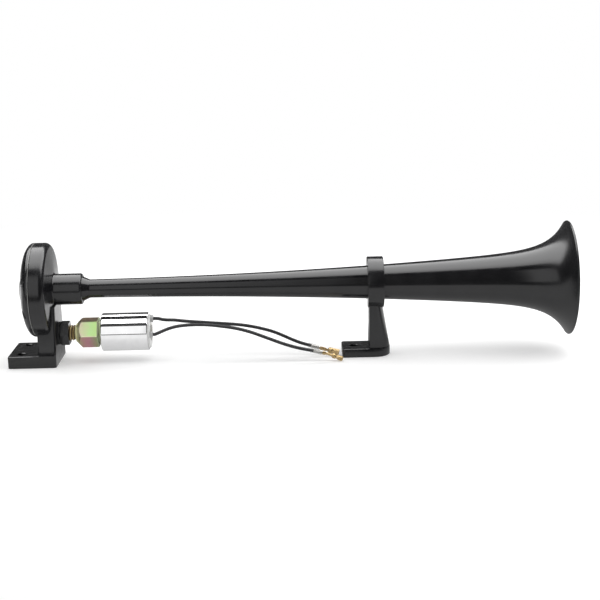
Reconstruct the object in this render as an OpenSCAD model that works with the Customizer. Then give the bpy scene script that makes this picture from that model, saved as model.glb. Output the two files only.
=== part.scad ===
// Single-trumpet air horn with an in-line solenoid valve on its inlet.
// +X runs along the trumpet to the bell's mouth, +Z is up, and Z = 0 is the surface the feet are bolted to.
// The origin lies midway between the two bolt holes of the rear foot.

/* [Trumpet] */
// Distance from the foot's bolt line to the bell's mouth
mouth_x = 421.8; // [380:0.1:460]
// Height of the trumpet's axis over the mounting surface
axis_h = 56.8; // [56:0.1:70]
// Outer radius of the narrow end of the trumpet
throat_r = 7.1; // [6.5:0.1:7.5]
// Steady growth of the radius for each millimetre of length
taper = 0.0045; // [0.003:0.0001:0.006]
// Curved growth of the radius, for each square millimetre
swell = 0.0001045; // [0.00008:0.0000005:0.00012]
// Radius of the bell's rim, outside its rolled edge
bell_r = 43.8; // [42:0.1:46]
// Length over which the bell opens out
flare_reach = 146; // [130:0.5:160]
// How suddenly the bell opens out
flare_power = 11.3; // [10:0.1:12.5]
// Wall of the trumpet at its narrow end
tube_wall = 1.9; // [1.5:0.1:2.2]
// Wall of the trumpet at the mouth
bell_wall = 1.2; // [1:0.1:1.6]
// Radius of the rolled edge round the mouth
rim_bead_r = 0.9; // [0.8:0.1:1.2]
// Angle between the bell and its axis where it meets the rolled edge
rim_lean = 59; // [56:0.1:62]
// Radius of the plug end that sits in the collar
plug_r = 9.7; // [9:0.1:10]
// Radius of the air way through the plug end
throat_bore_r = 4.4; // [3.8:0.1:4.7]

/* [Sound housing] */
// Joint between the housing and its cover
seam_x = 12; // [11:0.1:13]
// Radius of the housing's rim
rim_r = 36.1; // [35.5:0.1:37]
// Depth of the straight band behind the joint
band_depth = 6.6; // [6:0.1:7.5]
// Rounding between the band and the front face
face_round_r = 4.4; // [3:0.1:5]
// Slope of the front face towards the collar
face_slope = 0.1; // [0.05:0.01:0.14]
// Radius of the ring-shaped pressure chamber
chamber_r = 25.5; // [23:0.1:26]
// Distance from the joint to the chamber's floor
chamber_depth = 9.4; // [8:0.1:9.6]
// Outer radius of the sounding nozzle
nozzle_r = 7.4; // [6.8:0.1:8]
// Air way through the nozzle
nozzle_bore_r = 4.2; // [3.6:0.1:4.4]
// Radius of the trumpet's collar
collar_r = 12; // [11.4:0.1:13]
// Length of the collar in front of the joint
collar_len = 35.7; // [34:0.1:39]
// Rounding of the collar's outer edge
collar_round_r = 1.8; // [1:0.1:2]

/* [Rear bracket] */
// Front face of the upright web
web_front_x = 27.2; // [26.8:0.1:28]
// Thickness of the upright web
web_thick = 14.2; // [12:0.1:14.8]
// Half width of the web at its foot
web_base_half = 18.6; // [17:0.1:20]
// Half width of the web under the collar
web_top_half = 15; // [12:0.1:16]
// Rounding of the web's upright edges
web_edge_r = 1.6; // [1:0.1:2.2]
// Rear end of the foot behind the bolt line
foot_back = 9.9; // [8:0.1:12]
// Half width of the foot
foot_half = 22; // [19.5:0.1:24]
// Thickness of the foot
foot_thick = 9.4; // [7:0.1:10]
// Rounding of the foot's corners
foot_corner_r = 2; // [1:0.1:4]
// Spacing of the two bolt holes
foot_hole_pitch = 27; // [24:0.5:30]
// Radius of every mounting hole
mount_hole_r = 3.2; // [2.7:0.1:3.4]
// Depth of the chamfer at the mouth of a mounting hole
hole_chamfer = 0.6; // [0.3:0.1:1]

/* [Rear cover] */
// Radius of the cover's rim
cover_r = 36.2; // [35.5:0.1:37]
// Straight part of the cover's rim
cover_band = 0.8; // [0.6:0.1:1.2]
// Depth of the rounded shoulder
shoulder_depth = 8; // [7.5:0.1:8.6]
// Radius where the shoulder meets the dome
dome_r = 16; // [14:0.1:18]
// Height of the shallow dome
dome_rise = 4.6; // [3.6:0.1:5]
// Wall of the cover behind the diaphragm
cover_wall = 2.2; // [1.8:0.1:2.6]
// Number of cover screws
screw_count = 8; // [6:1:10]
// Radius of the circle that the screws stand on
screw_circle_r = 32.3; // [32:0.1:32.8]
// Radius of a screw's shank
screw_r = 1.45; // [1.2:0.05:1.6]
// Radius of a screw's head
screw_head_r = 2.7; // [2.4:0.1:2.8]
// Height of a screw's head
screw_head_h = 2; // [1.6:0.1:2.4]
// Length of a screw under its head
screw_len = 8.5; // [7:0.5:9]
// Thickness of the cover under a screw's head
screw_clamp = 1.6; // [1.4:0.1:2]
// Depth of a screw's hole in the housing
screw_hole = 8; // [7.5:0.1:8.5]

/* [Diaphragm] */
// Radius of the diaphragm and its two gaskets
diaphragm_r = 29.4; // [28.5:0.1:30]
// Thickness of the diaphragm
diaphragm_thick = 0.4; // [0.3:0.05:0.6]
// Thickness of each gasket
gasket_thick = 0.8; // [0.6:0.1:1]

/* [Front bracket] */
// Rear edge of the ring that holds the trumpet
ring_x = 266.4; // [250:0.1:290]
// Width of the ring
ring_width = 12.5; // [10:0.1:16]
// Outer radius of the ring
ring_r = 19.7; // [17.5:0.1:20.5]
// Rounding of the ring's edges
ring_round_r = 0.8; // [0.4:0.1:1.2]
// Thickness of the front foot
front_foot_thick = 6.8; // [5:0.1:8]
// Half width of the front foot
front_foot_half = 12.6; // [11:0.1:14]
// Distance from the front foot's rear end to the leg
front_foot_reach = 21; // [17:0.1:24]
// Distance from the leg's rear face to the hole
front_hole_reach = 11.9; // [9:0.1:13]
// Depth of the leg along the trumpet at its foot
leg_base = 16.1; // [14:0.1:18]
// Depth of the leg along the trumpet under the ring
leg_top = 10.6; // [10:0.1:12]
// Half width of the leg
leg_half = 10.8; // [9:0.1:12]
// Radius of the lock screw in the ring
lock_screw_r = 2.45; // [2:0.05:2.5]

/* [Solenoid valve] */
// Height of the valve's axis
valve_h = 22; // [21:0.1:23]
// Radius of the threaded neck
neck_r = 5.9; // [5.5:0.1:6]
// Depth of the neck in the web
neck_depth = 8.2; // [6:0.1:8.8]
// Thickness of the sealing washer on the web
washer_thick = 1; // [0.8:0.1:1.5]
// Width of the lock nut across its flats
nut_flats = 17; // [16:0.1:18]
// Thickness of the lock nut
nut_thick = 7.2; // [6:0.1:8]
// Bare neck between the lock nut and the body
neck_show = 5.3; // [2:0.1:6]
// Width of the valve body across its flats
body_flats = 20.6; // [19:0.1:22]
// Length of the hexagonal valve body
body_len = 16.5; // [16:0.1:20]
// Angle that the hexagon stands turned about the valve's axis
body_turn = 3; // [0:1:15]
// Radius of the solenoid's can
can_r = 14.75; // [14:0.05:16]
// Length of the solenoid's can
can_len = 36.3; // [35:0.1:39]
// Wall of the can
can_wall = 0.9; // [0.7:0.1:1.1]
// Rounding of the can's edges
can_round_r = 1.3; // [0.8:0.1:1.5]
// Radius of the plunger
plunger_r = 4.42; // [4:0.02:4.6]
// Length of the plunger
plunger_len = 18.7; // [18:0.1:19]
// Travel of the plunger from shut to open
plunger_travel = 1.8; // [1:0.1:2.2]
// Wall of the guide tube
guide_wall = 0.5; // [0.3:0.1:0.6]
// Radius of the threaded air inlet
inlet_r = 4.3; // [4:0.1:4.6]
// Depth of the threaded air inlet
inlet_depth = 9; // [7:0.1:9.4]
// Outer radius of the boss round the air inlet
inlet_boss_r = 7.5; // [7:0.1:8]
// Radius of the return spring's coil at the wire's middle
spring_r = 2.0; // [1.8:0.05:2.1]
// Thickness of the return spring's wire
spring_wire = 0.5; // [0.4:0.05:0.6]
// Number of turns of the return spring
spring_turns = 7; // [5:1:8]

/* [Leads] */
// Radius of a lead, over its insulation
lead_r = 1.3; // [1:0.02:1.4]
// Inner radius of a clear sleeve
sleeve_bore_r = 1.6; // [1.5:0.05:1.8]
// Wall of a clear sleeve
sleeve_wall = 0.35; // [0.25:0.05:0.5]
// Length of a clear sleeve
sleeve_len = 8.8; // [7:0.1:10]
// Radius of the male bullet and of the socket that takes it
bullet_r = 1.95; // [1.8:0.05:2.05]
// Length of the bullet and of the socket
bullet_len = 8.2; // [7:0.1:9]

/* [Hidden] */

round_fn = 96;
eps = 0.01;
// Gap between a pin or plug and its bore
fit = 0.05;
// Play between pieces that only lie in each other
play = 0.1;
// Distance that a cutting tool runs past a surface
over = 1;

housing_color = [0.09, 0.09, 0.09];
zinc_color = [0.82, 0.76, 0.45];
chrome_color = [0.85, 0.86, 0.88];
nylon_color = [0.94, 0.94, 0.92];
brass_color = [0.82, 0.62, 0.30];
steel_color = [0.62, 0.63, 0.65];
rubber_color = [0.12, 0.12, 0.12];
copper_color = [0.72, 0.38, 0.20];
clear_color = [0.90, 0.90, 0.88, 0.5];

// Stack of the diaphragm, from the cover's face to the housing's seat
diaphragm_x = seam_x + gasket_thick;
front_gasket_x = diaphragm_x + diaphragm_thick;
seat_x = front_gasket_x + gasket_thick;
nozzle_gap = 0.02;
head_x = seam_x - screw_clamp;
nozzle_x = front_gasket_x + nozzle_gap;
chamber_x = seam_x + chamber_depth;
crease_x = seam_x + band_depth;
face_angle = atan(face_slope);
face_x = crease_x + face_round_r * cos(face_angle);
face_r = rim_r - face_round_r + face_round_r * sin(face_angle);
collar_fillet_r = 1.4;
collar_start_x = face_x + face_slope * (face_r - collar_r - collar_fillet_r);
collar_end_x = seam_x + collar_len;
seal_thick = 1;
seal_inset = 0.8;
plug_seat_x = 27;
air_way_r = 2.4;
plug_x = plug_seat_x + seal_thick;

// Trumpet
cone_len = 5.6;
cone_x = collar_end_x - 0.3;
tube_x = cone_x + cone_len;
rim_x = mouth_x - rim_bead_r * (1 + sin(rim_lean));
mouth_rim_r = bell_r - rim_bead_r * (1 - cos(rim_lean));
bell_gain = mouth_rim_r - plain_r(rim_x);
tube_steps = 24;
bell_steps = 24;
bell_crowding = 1.6;
bell_joint_x = ring_x + ring_width / 2;

// Front bracket
leg_set = 0.8;
leg_sink = 4;
foot_lip = 0.3;
leg_x = ring_x + leg_set;
front_foot_x = leg_x - front_foot_reach;
front_hole_x = leg_x - front_hole_reach;
front_foot_end_x = leg_x + leg_base + foot_lip;

// Valve, from the web to the end of the can
washer_proud = 0.4;
nut_x = web_front_x + washer_thick;
neck_start_x = web_front_x - neck_depth;
flange_thick = 1.2;
flange_x = nut_x + nut_thick + neck_show;
body_x = flange_x + flange_thick;
body_end_x = body_x + body_len;
spigot_r = 8.6;
spigot_len = 2.2;
can_x = body_end_x + spigot_len;
can_end_x = can_x + can_len;
can_inner_r = can_r - can_wall;
flux_thick = 1.6;
running_gap = 0.08;
tube_bore_r = plunger_r + running_gap;
tube_r = tube_bore_r + guide_wall;
orifice_r = 2;
seat_lip_r = 2.8;
seat_depth = 9.1;
seat_lip_height = 1.4;
guide_gap = 3;
seat_lip_x = body_x + seat_depth;
valve_chamber_x = seat_lip_x - seat_lip_height;
guide_x = seat_lip_x + guide_gap;
seal_disc_r = 3.3;
seal_proud = 0.4;
seal_pocket = 1.4;
plunger_x = seat_lip_x + seal_proud;
seal_end_x = plunger_x + seal_pocket;
plunger_end_x = plunger_x + plunger_len;
core_x = plunger_end_x + plunger_travel + play;
spring_pocket_r = 2.6;
spring_pocket = 8;
spring_start_x = plunger_end_x - spring_pocket;
flow_bore_r = 1.4;
o_ring_r = 0.7;
o_ring_set = 3;
o_ring_x = guide_x + o_ring_set;
bobbin_gap = 0.6;
end_depth = 9.1;
bobbin_x = can_x + flux_thick + bobbin_gap;
bobbin_end_x = can_end_x - end_depth;
bobbin_wall = 0.8;
bobbin_flange = 1.2;
bobbin_bore_r = tube_r + play;
bobbin_hub_r = bobbin_bore_r + bobbin_wall;
bobbin_flange_r = can_inner_r - 1.4;
winding_r = bobbin_flange_r - 1;
flux_x = bobbin_end_x;
cap_x = flux_x + flux_thick;
lip_thick = 0.5;
lip_r = can_inner_r - 0.7;
cap_shoulder_x = can_end_x - lip_thick;
cap_proud = 1.5;
cap_end_x = can_end_x + cap_proud;
boss_set = 0.6;
core_boss_x = flux_x - boss_set;
core_end_x = cap_end_x + 0.2;
outlet_circle_r = 10.9;
outlet_hole_r = 1.5;
grommet_size = 4.2;
grommet_proud = 2.4;
grommet_end_x = cap_end_x + grommet_proud;
outlet_angles = [105, 180];

// Clear ends of the leads
crimp_r = sleeve_bore_r - play;
crimp_len = 6.4;
sleeve_set = 2.2;
neck_wire_r = 1;
wing_r = 1.45;
wing_from = 7.4;
wing_gap = 0.6;
wing_len = 5;

// Routes of the two leads, from the valve's end to the crimp of the terminal
upper_exit = outlet(grommet_end_x, outlet_angles[0]);
lower_exit = outlet(grommet_end_x, outlet_angles[1]);
upper_route = concat([upper_exit, upper_exit + [2.8, 0, 0]],
    [[109, -2.8, 31.4], [117, -2.8, 30.9], [125, -2.8, 29.9], [133, -2.7, 29.1], [141, -2.7, 28.4],
     [149, -2.7, 27.7], [157, -2.7, 27], [165, -2.7, 26.2], [172, -2.6, 25.2], [179, -2.6, 23.8],
     [186, -2.6, 22], [193, -2.6, 19.8], [200, -2.6, 16.8], [206, -2.6, 13.9], [212, -2.5, 11.2],
     [217, -2.5, 9.4], [222.2, -2.5, 7.9]]);
lower_route = concat([lower_exit, lower_exit + [1.5, 0, 0], lower_exit + [3.2, -0.1, 0.6]],
    [[107.5, -11.1, 24.1], [112, -11.6, 26], [117, -12, 27.6], [123, -12.5, 28.7], [130, -13, 29.3],
     [138, -13.4, 29.4], [146, -13.9, 29], [154, -14.4, 28], [162, -14.8, 26.8], [170, -15.3, 25],
     [177, -15.7, 22.9], [184, -16.2, 20.3], [191, -16.7, 17.6], [198, -17.1, 14.9],
     [205, -17.6, 12.5], [212, -18, 10.5], [218, -18.3, 9.2], [223.9, -18.5, 8.05]]);
upper_lie = [13.7, -1, -3.75];
lower_lie = [9.8, -0.5, -2.2];
upper_bend = [8.1, -1.4, -1.8];
lower_bend = [10.8, -1.9, -3.6];

// Centre of a lead's outlet at a station x, at angle a round the valve's axis
function outlet(x, a) = [x, outlet_circle_r * cos(a), valve_h + outlet_circle_r * sin(a)];
// Radius of the trumpet without the bell's flare
function plain_r(x) = throat_r + taper * (x - tube_x) + swell * pow(x - tube_x, 2);
// Outer radius of the trumpet at a station x
function horn_r(x) = plain_r(x) + bell_gain * pow((rim_x - x) / flare_reach + 1, -flare_power);
// Wall of the trumpet at a station x
function horn_wall(x) = tube_wall + (bell_wall - tube_wall) * (x - tube_x) / (rim_x - tube_x);
// Stations along the bell, closer together towards the mouth
bell_stations = [for (i = [0:bell_steps])
    rim_x - (rim_x - bell_joint_x) * pow(1 - i / bell_steps, bell_crowding)];
tube_stations = [for (i = [0:tube_steps]) tube_x + (bell_joint_x - tube_x) * i / tube_steps];
// Outer and inner line of the trumpet's wall through a list of stations
function wall_line(xs) = concat([for (x = xs) [horn_r(x), x]],
    [for (i = [len(xs) - 1:-1:0]) [horn_r(xs[i]) - horn_wall(xs[i]), xs[i]]]);
// Points of an arc round [cx, cy], from angle a0 to a1
function arc(cx, cy, r, a0, a1, n = 8) =
    [for (i = [0:n]) let (a = a0 + (a1 - a0) * i / n) [cx + r * cos(a), cy + r * sin(a)]];

// Solid turned from a profile of [radius, station] points round the horn's axis
module turned(profile, height = axis_h) {
    translate([0, 0, height]) rotate([0, 90, 0]) rotate_extrude($fn = round_fn) polygon(profile);
}

// Round bar along X
module bar(x0, x1, r, height = axis_h, y = 0) {
    translate([x0, y, height]) rotate([0, 90, 0]) cylinder(h = x1 - x0, r = r, $fn = round_fn);
}

// Ring along X
module ring(x0, x1, r_in, r_out, height = axis_h) {
    turned([[r_in, x0], [r_out, x0], [r_out, x1], [r_in, x1]], height);
}

// Hexagonal bar along X with one corner towards each side
module hex_bar(x0, x1, flats, height, turn = 0) {
    translate([x0, 0, height]) rotate([0, 90, 0]) rotate([0, 0, 90 + turn])
        cylinder(h = x1 - x0, r = flats / sqrt(3), $fn = 6);
}

// Flat plate with rounded corners, lying on the mounting surface
module rounded_plate(x0, x1, half, thick, r) {
    linear_extrude(height = thick) union() {
        translate([x0 + r, -half]) square([x1 - x0 - 2 * r, 2 * half]);
        translate([x0, -half + r]) square([x1 - x0, 2 * half - 2 * r]);
        for (x = [x0 + r, x1 - r], y = [-half + r, half - r]) translate([x, y]) circle(r = r, $fn = 48);
    }
}

// Upright mounting hole with a chamfered mouth
module mounting_hole(x, y, thick) {
    translate([x, y, -over]) cylinder(h = thick + 2 * over, r = mount_hole_r, $fn = 64);
    translate([x, y, thick]) rotate([180, 0, 0]) rotate_extrude($fn = 64)
        polygon([[0, -over], [mount_hole_r + hole_chamfer, -over], [mount_hole_r + hole_chamfer, 0],
                 [mount_hole_r, hole_chamfer], [0, hole_chamfer]]);
}

// Copies of a child on the circle of the cover's screws
module on_screw_circle() {
    for (i = [0:screw_count - 1])
        translate([0, 0, axis_h]) rotate([(i + 0.5) * 360 / screw_count, 0, 0])
            translate([0, 0, screw_circle_r]) children();
}

// Upright web of the rear bracket, narrower towards the collar, with rounded edges
module web_block() {
    x0 = web_front_x - web_thick + web_edge_r;
    x1 = web_front_x - web_edge_r;
    hull() {
        for (x = [x0, x1], s = [-1, 1]) {
            translate([x, s * (web_base_half - web_edge_r), 0])
                cylinder(h = eps, r = web_edge_r, $fn = 24);
            translate([x, s * (web_top_half - web_edge_r), axis_h - collar_r + over])
                cylinder(h = eps, r = web_edge_r, $fn = 24);
        }
    }
}

// Dish, collar, web and foot, cast in one
module horn_housing() {
    outside = concat([[0, seam_x], [rim_r, seam_x]],
        arc(rim_r - face_round_r, crease_x, face_round_r, 0, 90 - face_angle),
        arc(collar_r + collar_fillet_r, collar_start_x + collar_fillet_r, collar_fillet_r,
            270 - face_angle, 180, 5),
        arc(collar_r - collar_round_r, collar_end_x - collar_round_r, collar_round_r, 0, 90, 6),
        [[0, collar_end_x]]);
    color(housing_color) difference() {
        union() {
            turned(outside);
            web_block();
            rounded_plate(-foot_back, web_front_x, foot_half, foot_thick, foot_corner_r);
        }
        // recess of the diaphragm and the ring-shaped pressure chamber
        bar(seam_x - over, seat_x, diaphragm_r + 2 * play);
        ring(seam_x, chamber_x, nozzle_r, chamber_r);
        bar(seam_x - over, nozzle_x, nozzle_r + over);
        // air way into the trumpet and the trumpet's seat
        bar(seam_x, plug_seat_x + over, nozzle_bore_r);
        bar(plug_seat_x, collar_end_x + over, plug_r + fit);
        // screw holes of the cover
        on_screw_circle() translate([seam_x - over, 0, 0]) rotate([0, 90, 0])
            cylinder(h = screw_hole + over, r = screw_r + fit, $fn = 32);
        // threaded seat of the valve and its rising air way
        bar(neck_start_x - over, web_front_x + over, neck_r + fit, valve_h);
        translate([neck_start_x, 0, valve_h])
            cylinder(h = axis_h - valve_h - chamber_r + over, r = air_way_r, $fn = 48);
        for (s = [-1, 1]) mounting_hole(0, s * foot_hole_pitch / 2, foot_thick);
    }
}

// Domed cap that clamps the diaphragm
module rear_cover() {
    shoulder_x = seam_x - cover_band;
    outside = concat([[0, seam_x], [cover_r, seam_x], [cover_r, shoulder_x]],
        [for (a = [15:15:90]) [dome_r + (cover_r - dome_r) * cos(a), shoulder_x - shoulder_depth * sin(a)]],
        [for (t = [0.75, 0.5, 0.25, 0]) [dome_r * t, shoulder_x - shoulder_depth - dome_rise * (1 - t * t)]]);
    inside_x = shoulder_x - shoulder_depth - dome_rise + cover_wall;
    inside_step = 3.5;
    inside_inset = 3;
    shank_gap = 0.25;
    head_gap = 0.3;
    color(housing_color) difference() {
        turned(outside);
        turned([[0, seam_x + over], [chamber_r, seam_x + over], [chamber_r, shoulder_x - inside_step],
                [dome_r - inside_inset, inside_x + dome_rise], [dome_r / 2, inside_x + dome_rise / 4],
                [0, inside_x]]);
        on_screw_circle() translate([head_x, 0, 0]) rotate([0, 90, 0])
            cylinder(h = screw_clamp + over, r = screw_r + shank_gap, $fn = 32);
        on_screw_circle() translate([head_x, 0, 0]) rotate([0, -90, 0])
            cylinder(h = shoulder_depth + dome_rise, r = screw_head_r + head_gap, $fn = 32);
    }
}

// Pan-head screws of the cover, each with a cross recess
module cover_screws() {
    slot = 0.8;
    slot_depth = 1.1;
    slot_reach = 0.6 * screw_head_r;
    color(steel_color) on_screw_circle() difference() {
        union() {
            translate([head_x, 0, 0]) rotate([0, 90, 0]) cylinder(h = screw_len, r = screw_r, $fn = 32);
            translate([head_x, 0, 0]) rotate([0, -90, 0])
                cylinder(h = screw_head_h, r = screw_head_r, $fn = 32);
        }
        for (a = [0, 90]) translate([head_x - screw_head_h - over, 0, 0]) rotate([a, 0, 0])
            translate([0, -slot / 2, -slot_reach]) cube([over + slot_depth, slot, 2 * slot_reach]);
    }
}

module rear_gasket() {
    color(rubber_color) ring(seam_x, diaphragm_x, chamber_r, diaphragm_r);
}

module front_gasket() {
    color(rubber_color) ring(front_gasket_x, seat_x, chamber_r, diaphragm_r);
}

module diaphragm() {
    color(steel_color) bar(diaphragm_x, front_gasket_x, diaphragm_r);
}

// Tube of the trumpet, from the plug in the collar to the joint in the bracket's ring
module trumpet() {
    color(housing_color)
        turned(concat([[throat_bore_r, plug_x], [plug_r, plug_x], [plug_r, cone_x]],
            wall_line(tube_stations)));
}

// Bell of the trumpet, from the joint in the bracket's ring to the rolled rim
module bell() {
    color(housing_color) union() {
        turned(wall_line(bell_stations));
        turned(arc(bell_r - rim_bead_r, mouth_x - rim_bead_r, rim_bead_r, 0, 345, 23));
    }
}

module trumpet_seal() {
    color(rubber_color) ring(plug_seat_x, plug_x, throat_bore_r + seal_inset, plug_r - play);
}

// Ring, leg and foot under the trumpet, cast in one
module front_bracket() {
    r = ring_round_r;
    x1 = ring_x + ring_width;
    steps = 6;
    bore = [for (i = [0:steps]) let (x = ring_x + ring_width * i / steps) [horn_r(x) + fit, x]];
    leg_height = axis_h - ring_r + leg_sink;
    color(housing_color) difference() {
        union() {
            turned(concat(bore, arc(ring_r - r, x1 - r, r, 90, 0, 4),
                arc(ring_r - r, ring_x + r, r, 0, -90, 4)));
            // leg: its plan is a D with the round side to the bell, and its front slopes
            intersection() {
                linear_extrude(height = leg_height) union() {
                    translate([leg_x, -leg_half]) square([leg_base - leg_half, 2 * leg_half]);
                    translate([leg_x + leg_base - leg_half, 0]) circle(r = leg_half, $fn = round_fn);
                }
                translate([0, leg_half + over, 0]) rotate([90, 0, 0])
                    linear_extrude(height = 2 * (leg_half + over))
                        polygon([[leg_x, 0], [leg_x + leg_base, 0], [leg_x + leg_base, front_foot_thick],
                                 [leg_x + leg_top, leg_height], [leg_x, leg_height]]);
            }
            // foot: round at the bell's end, with small corners at the other
            linear_extrude(height = front_foot_thick) union() {
                translate([front_foot_x + foot_corner_r, -front_foot_half])
                    square([front_foot_end_x - front_foot_x - foot_corner_r - front_foot_half,
                            2 * front_foot_half]);
                translate([front_foot_x, -front_foot_half + foot_corner_r])
                    square([front_foot_reach, 2 * (front_foot_half - foot_corner_r)]);
                for (s = [-1, 1])
                    translate([front_foot_x + foot_corner_r, s * (front_foot_half - foot_corner_r)])
                        circle(r = foot_corner_r, $fn = 48);
                translate([front_foot_end_x - front_foot_half, 0])
                    circle(r = front_foot_half, $fn = round_fn);
            }
        }
        // the trumpet passes through the top of the leg
        turned(concat([[0, ring_x - over], [horn_r(ring_x) + fit, ring_x - over]], bore,
            [[horn_r(x1) + fit, x1 + over], [0, x1 + over]]));
        mounting_hole(front_hole_x, 0, front_foot_thick);
        // thread of the lock screw, on the side away from the valve's leads
        translate([ring_x + ring_width / 2, 0, axis_h]) rotate([-90, 0, 0])
            cylinder(h = ring_r + over, r = lock_screw_r + fit, $fn = 48);
    }
}

// Headless screw that locks the ring on the trumpet
module bracket_lock_screw() {
    mid_x = ring_x + ring_width / 2;
    start_y = horn_r(mid_x + lock_screw_r) + fit;
    end_y = ring_r - 0.4;
    socket_depth = 2.2;
    socket_r = 1.3;
    color(steel_color) translate([mid_x, 0, axis_h]) rotate([-90, 0, 0]) difference() {
        translate([0, 0, start_y]) cylinder(h = end_y - start_y, r = lock_screw_r, $fn = 48);
        translate([0, 0, end_y - socket_depth]) cylinder(h = socket_depth + over, r = socket_r, $fn = 6);
    }
}

module inlet_washer() {
    color(rubber_color) ring(web_front_x, nut_x, neck_r + play, nut_flats / 2 + washer_proud, valve_h);
}

// Lock nut on the valve's neck, with turned corners
module lock_nut() {
    nut_end_x = nut_x + nut_thick;
    cut = 1.5;
    corner = nut_flats / sqrt(3) + 0.2;
    face = corner - 0.2 - cut;
    color(housing_color) difference() {
        intersection() {
            hex_bar(nut_x, nut_end_x, nut_flats, valve_h);
            turned([[0, nut_x], [face, nut_x], [corner, nut_x + cut], [corner, nut_end_x - cut],
                    [face, nut_end_x], [0, nut_end_x]], valve_h);
        }
        bar(nut_x - over, nut_end_x + over, neck_r + fit, valve_h);
    }
}

// Threaded neck, shoulder and hexagon of the valve, with the sealing seat inside
module valve_body() {
    corner = body_flats / sqrt(3) + 0.2;
    shoulder_r = 7.3;
    chamfer_r = 8.2;
    end_cut = 0.8;
    groove_half = 0.8;
    color(zinc_color) difference() {
        union() {
            bar(neck_start_x, flange_x + eps, neck_r, valve_h);
            bar(flange_x, body_x + eps, shoulder_r, valve_h);
            intersection() {
                hex_bar(body_x, body_end_x, body_flats, valve_h, body_turn);
                turned([[0, body_x], [chamfer_r, body_x], [corner, body_x + corner - chamfer_r],
                        [corner, body_end_x - end_cut], [corner - end_cut, body_end_x],
                        [0, body_end_x]], valve_h);
            }
            bar(body_end_x - eps, can_x, spigot_r, valve_h);
        }
        bar(neck_start_x - over, seat_lip_x + over, orifice_r, valve_h);
        ring(valve_chamber_x, seat_lip_x + over, seat_lip_r, tube_r + fit, valve_h);
        bar(seat_lip_x, can_x + over, tube_r + fit, valve_h);
        ring(o_ring_x - groove_half, o_ring_x + groove_half, tube_r, tube_r + 2 * o_ring_r + play, valve_h);
    }
}

module tube_o_ring() {
    color(rubber_color) translate([o_ring_x, 0, valve_h]) rotate([0, 90, 0])
        rotate_extrude($fn = round_fn) translate([tube_r + o_ring_r + fit, 0])
            circle(r = o_ring_r - fit / 2, $fn = 32);
}

module guide_tube() {
    color(brass_color) ring(guide_x, core_boss_x, tube_bore_r, tube_r, valve_h);
}

// Sliding armature with four grooves that let the air past, and a pocket for its spring
module plunger() {
    groove_w = 1.4;
    groove_d = 1;
    color(steel_color) difference() {
        bar(plunger_x, plunger_end_x, plunger_r, valve_h);
        bar(plunger_x - over, seal_end_x + fit, seal_disc_r + fit, valve_h);
        bar(spring_start_x - fit, plunger_end_x + over, spring_pocket_r, valve_h);
        for (a = [45:90:315]) translate([plunger_x - over, 0, valve_h]) rotate([a, 0, 0])
            translate([0, -groove_w / 2, plunger_r - groove_d])
                cube([plunger_len + 2 * over, groove_w, groove_d + over]);
    }
}

module plunger_seal() {
    color(rubber_color) bar(seat_lip_x + fit, seal_end_x, seal_disc_r, valve_h);
}

// Points of the return spring: one unbroken helix between the plunger's pocket and the core
rings_a_turn = 8;
spring_rings = spring_turns * rings_a_turn;
spring_from_x = spring_start_x + spring_wire / 2 + fit;
spring_to_x = core_x - spring_wire / 2 - fit;
spring_pitch = (spring_to_x - spring_from_x) / spring_turns;
function spring_point(i) = let (t = i / spring_rings, a = 360 * spring_turns * t)
    [spring_from_x + (spring_to_x - spring_from_x) * t, spring_r * cos(a), valve_h + spring_r * sin(a)];
spring_path = [for (i = [0:spring_rings]) spring_point(i)];
echo(least_gap_between_spring_turns = spring_pitch - spring_wire);

module return_spring() {
    color(steel_color) tube_along(spring_path, spring_wire / 2, 6);
}

// Tube of n sides swept along a list of points, with each ring square to the path
function unit(v) = v / norm(v);
function lie(p, i) = unit(i == 0 ? p[1] - p[0] : i == len(p) - 1 ? p[i] - p[i - 1] : p[i + 1] - p[i - 1]);
// Side directions are carried from ring to ring, so the tube doesn't twist
function sides(p, i = 0, prev = [0, 0, 1], acc = []) = i == len(p) ? acc :
    let (t = lie(p, i), s = unit(prev - (prev * t) * t)) sides(p, i + 1, s, concat(acc, [s]));
module tube_along(p, r, n) {
    s = sides(p, 0, abs(lie(p, 0)[2]) > 0.9 ? [0, 1, 0] : [0, 0, 1]);
    count = len(p);
    points = [for (i = [0:count - 1]) let (t = lie(p, i), u = s[i], w = cross(t, u))
        for (k = [0:n - 1]) p[i] + r * (cos(360 * k / n) * u + sin(360 * k / n) * w)];
    walls = [for (i = [0:count - 2], k = [0:n - 1]) let (a = i * n + k, b = i * n + (k + 1) % n)
        each [[a, a + n, b], [b, a + n, b + n]]];
    start = [for (k = [1:n - 2]) [0, k, k + 1]];
    end = [for (k = [1:n - 2]) let (o = (count - 1) * n) [o, o + k + 1, o + k]];
    polyhedron(points = points, faces = concat(walls, start, end), convexity = 6);
}

// Fixed pole piece: a stem in the guide tube and a boss with the threaded air inlet
module fixed_core() {
    color(zinc_color) difference() {
        union() {
            bar(core_x, core_boss_x + eps, tube_bore_r - fit, valve_h);
            bar(core_boss_x, core_end_x, inlet_boss_r, valve_h);
        }
        bar(core_x - over, core_end_x, flow_bore_r, valve_h);
        bar(core_end_x - inlet_depth, core_end_x + over, inlet_r, valve_h);
    }
}

module coil_bobbin() {
    end_x = core_boss_x - fit;
    color(nylon_color) turned([[bobbin_bore_r, bobbin_x], [bobbin_flange_r, bobbin_x],
        [bobbin_flange_r, bobbin_x + bobbin_flange], [bobbin_hub_r, bobbin_x + bobbin_flange],
        [bobbin_hub_r, bobbin_end_x - bobbin_flange], [bobbin_flange_r, bobbin_end_x - bobbin_flange],
        [bobbin_flange_r, end_x], [bobbin_bore_r, end_x]], valve_h);
}

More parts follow.
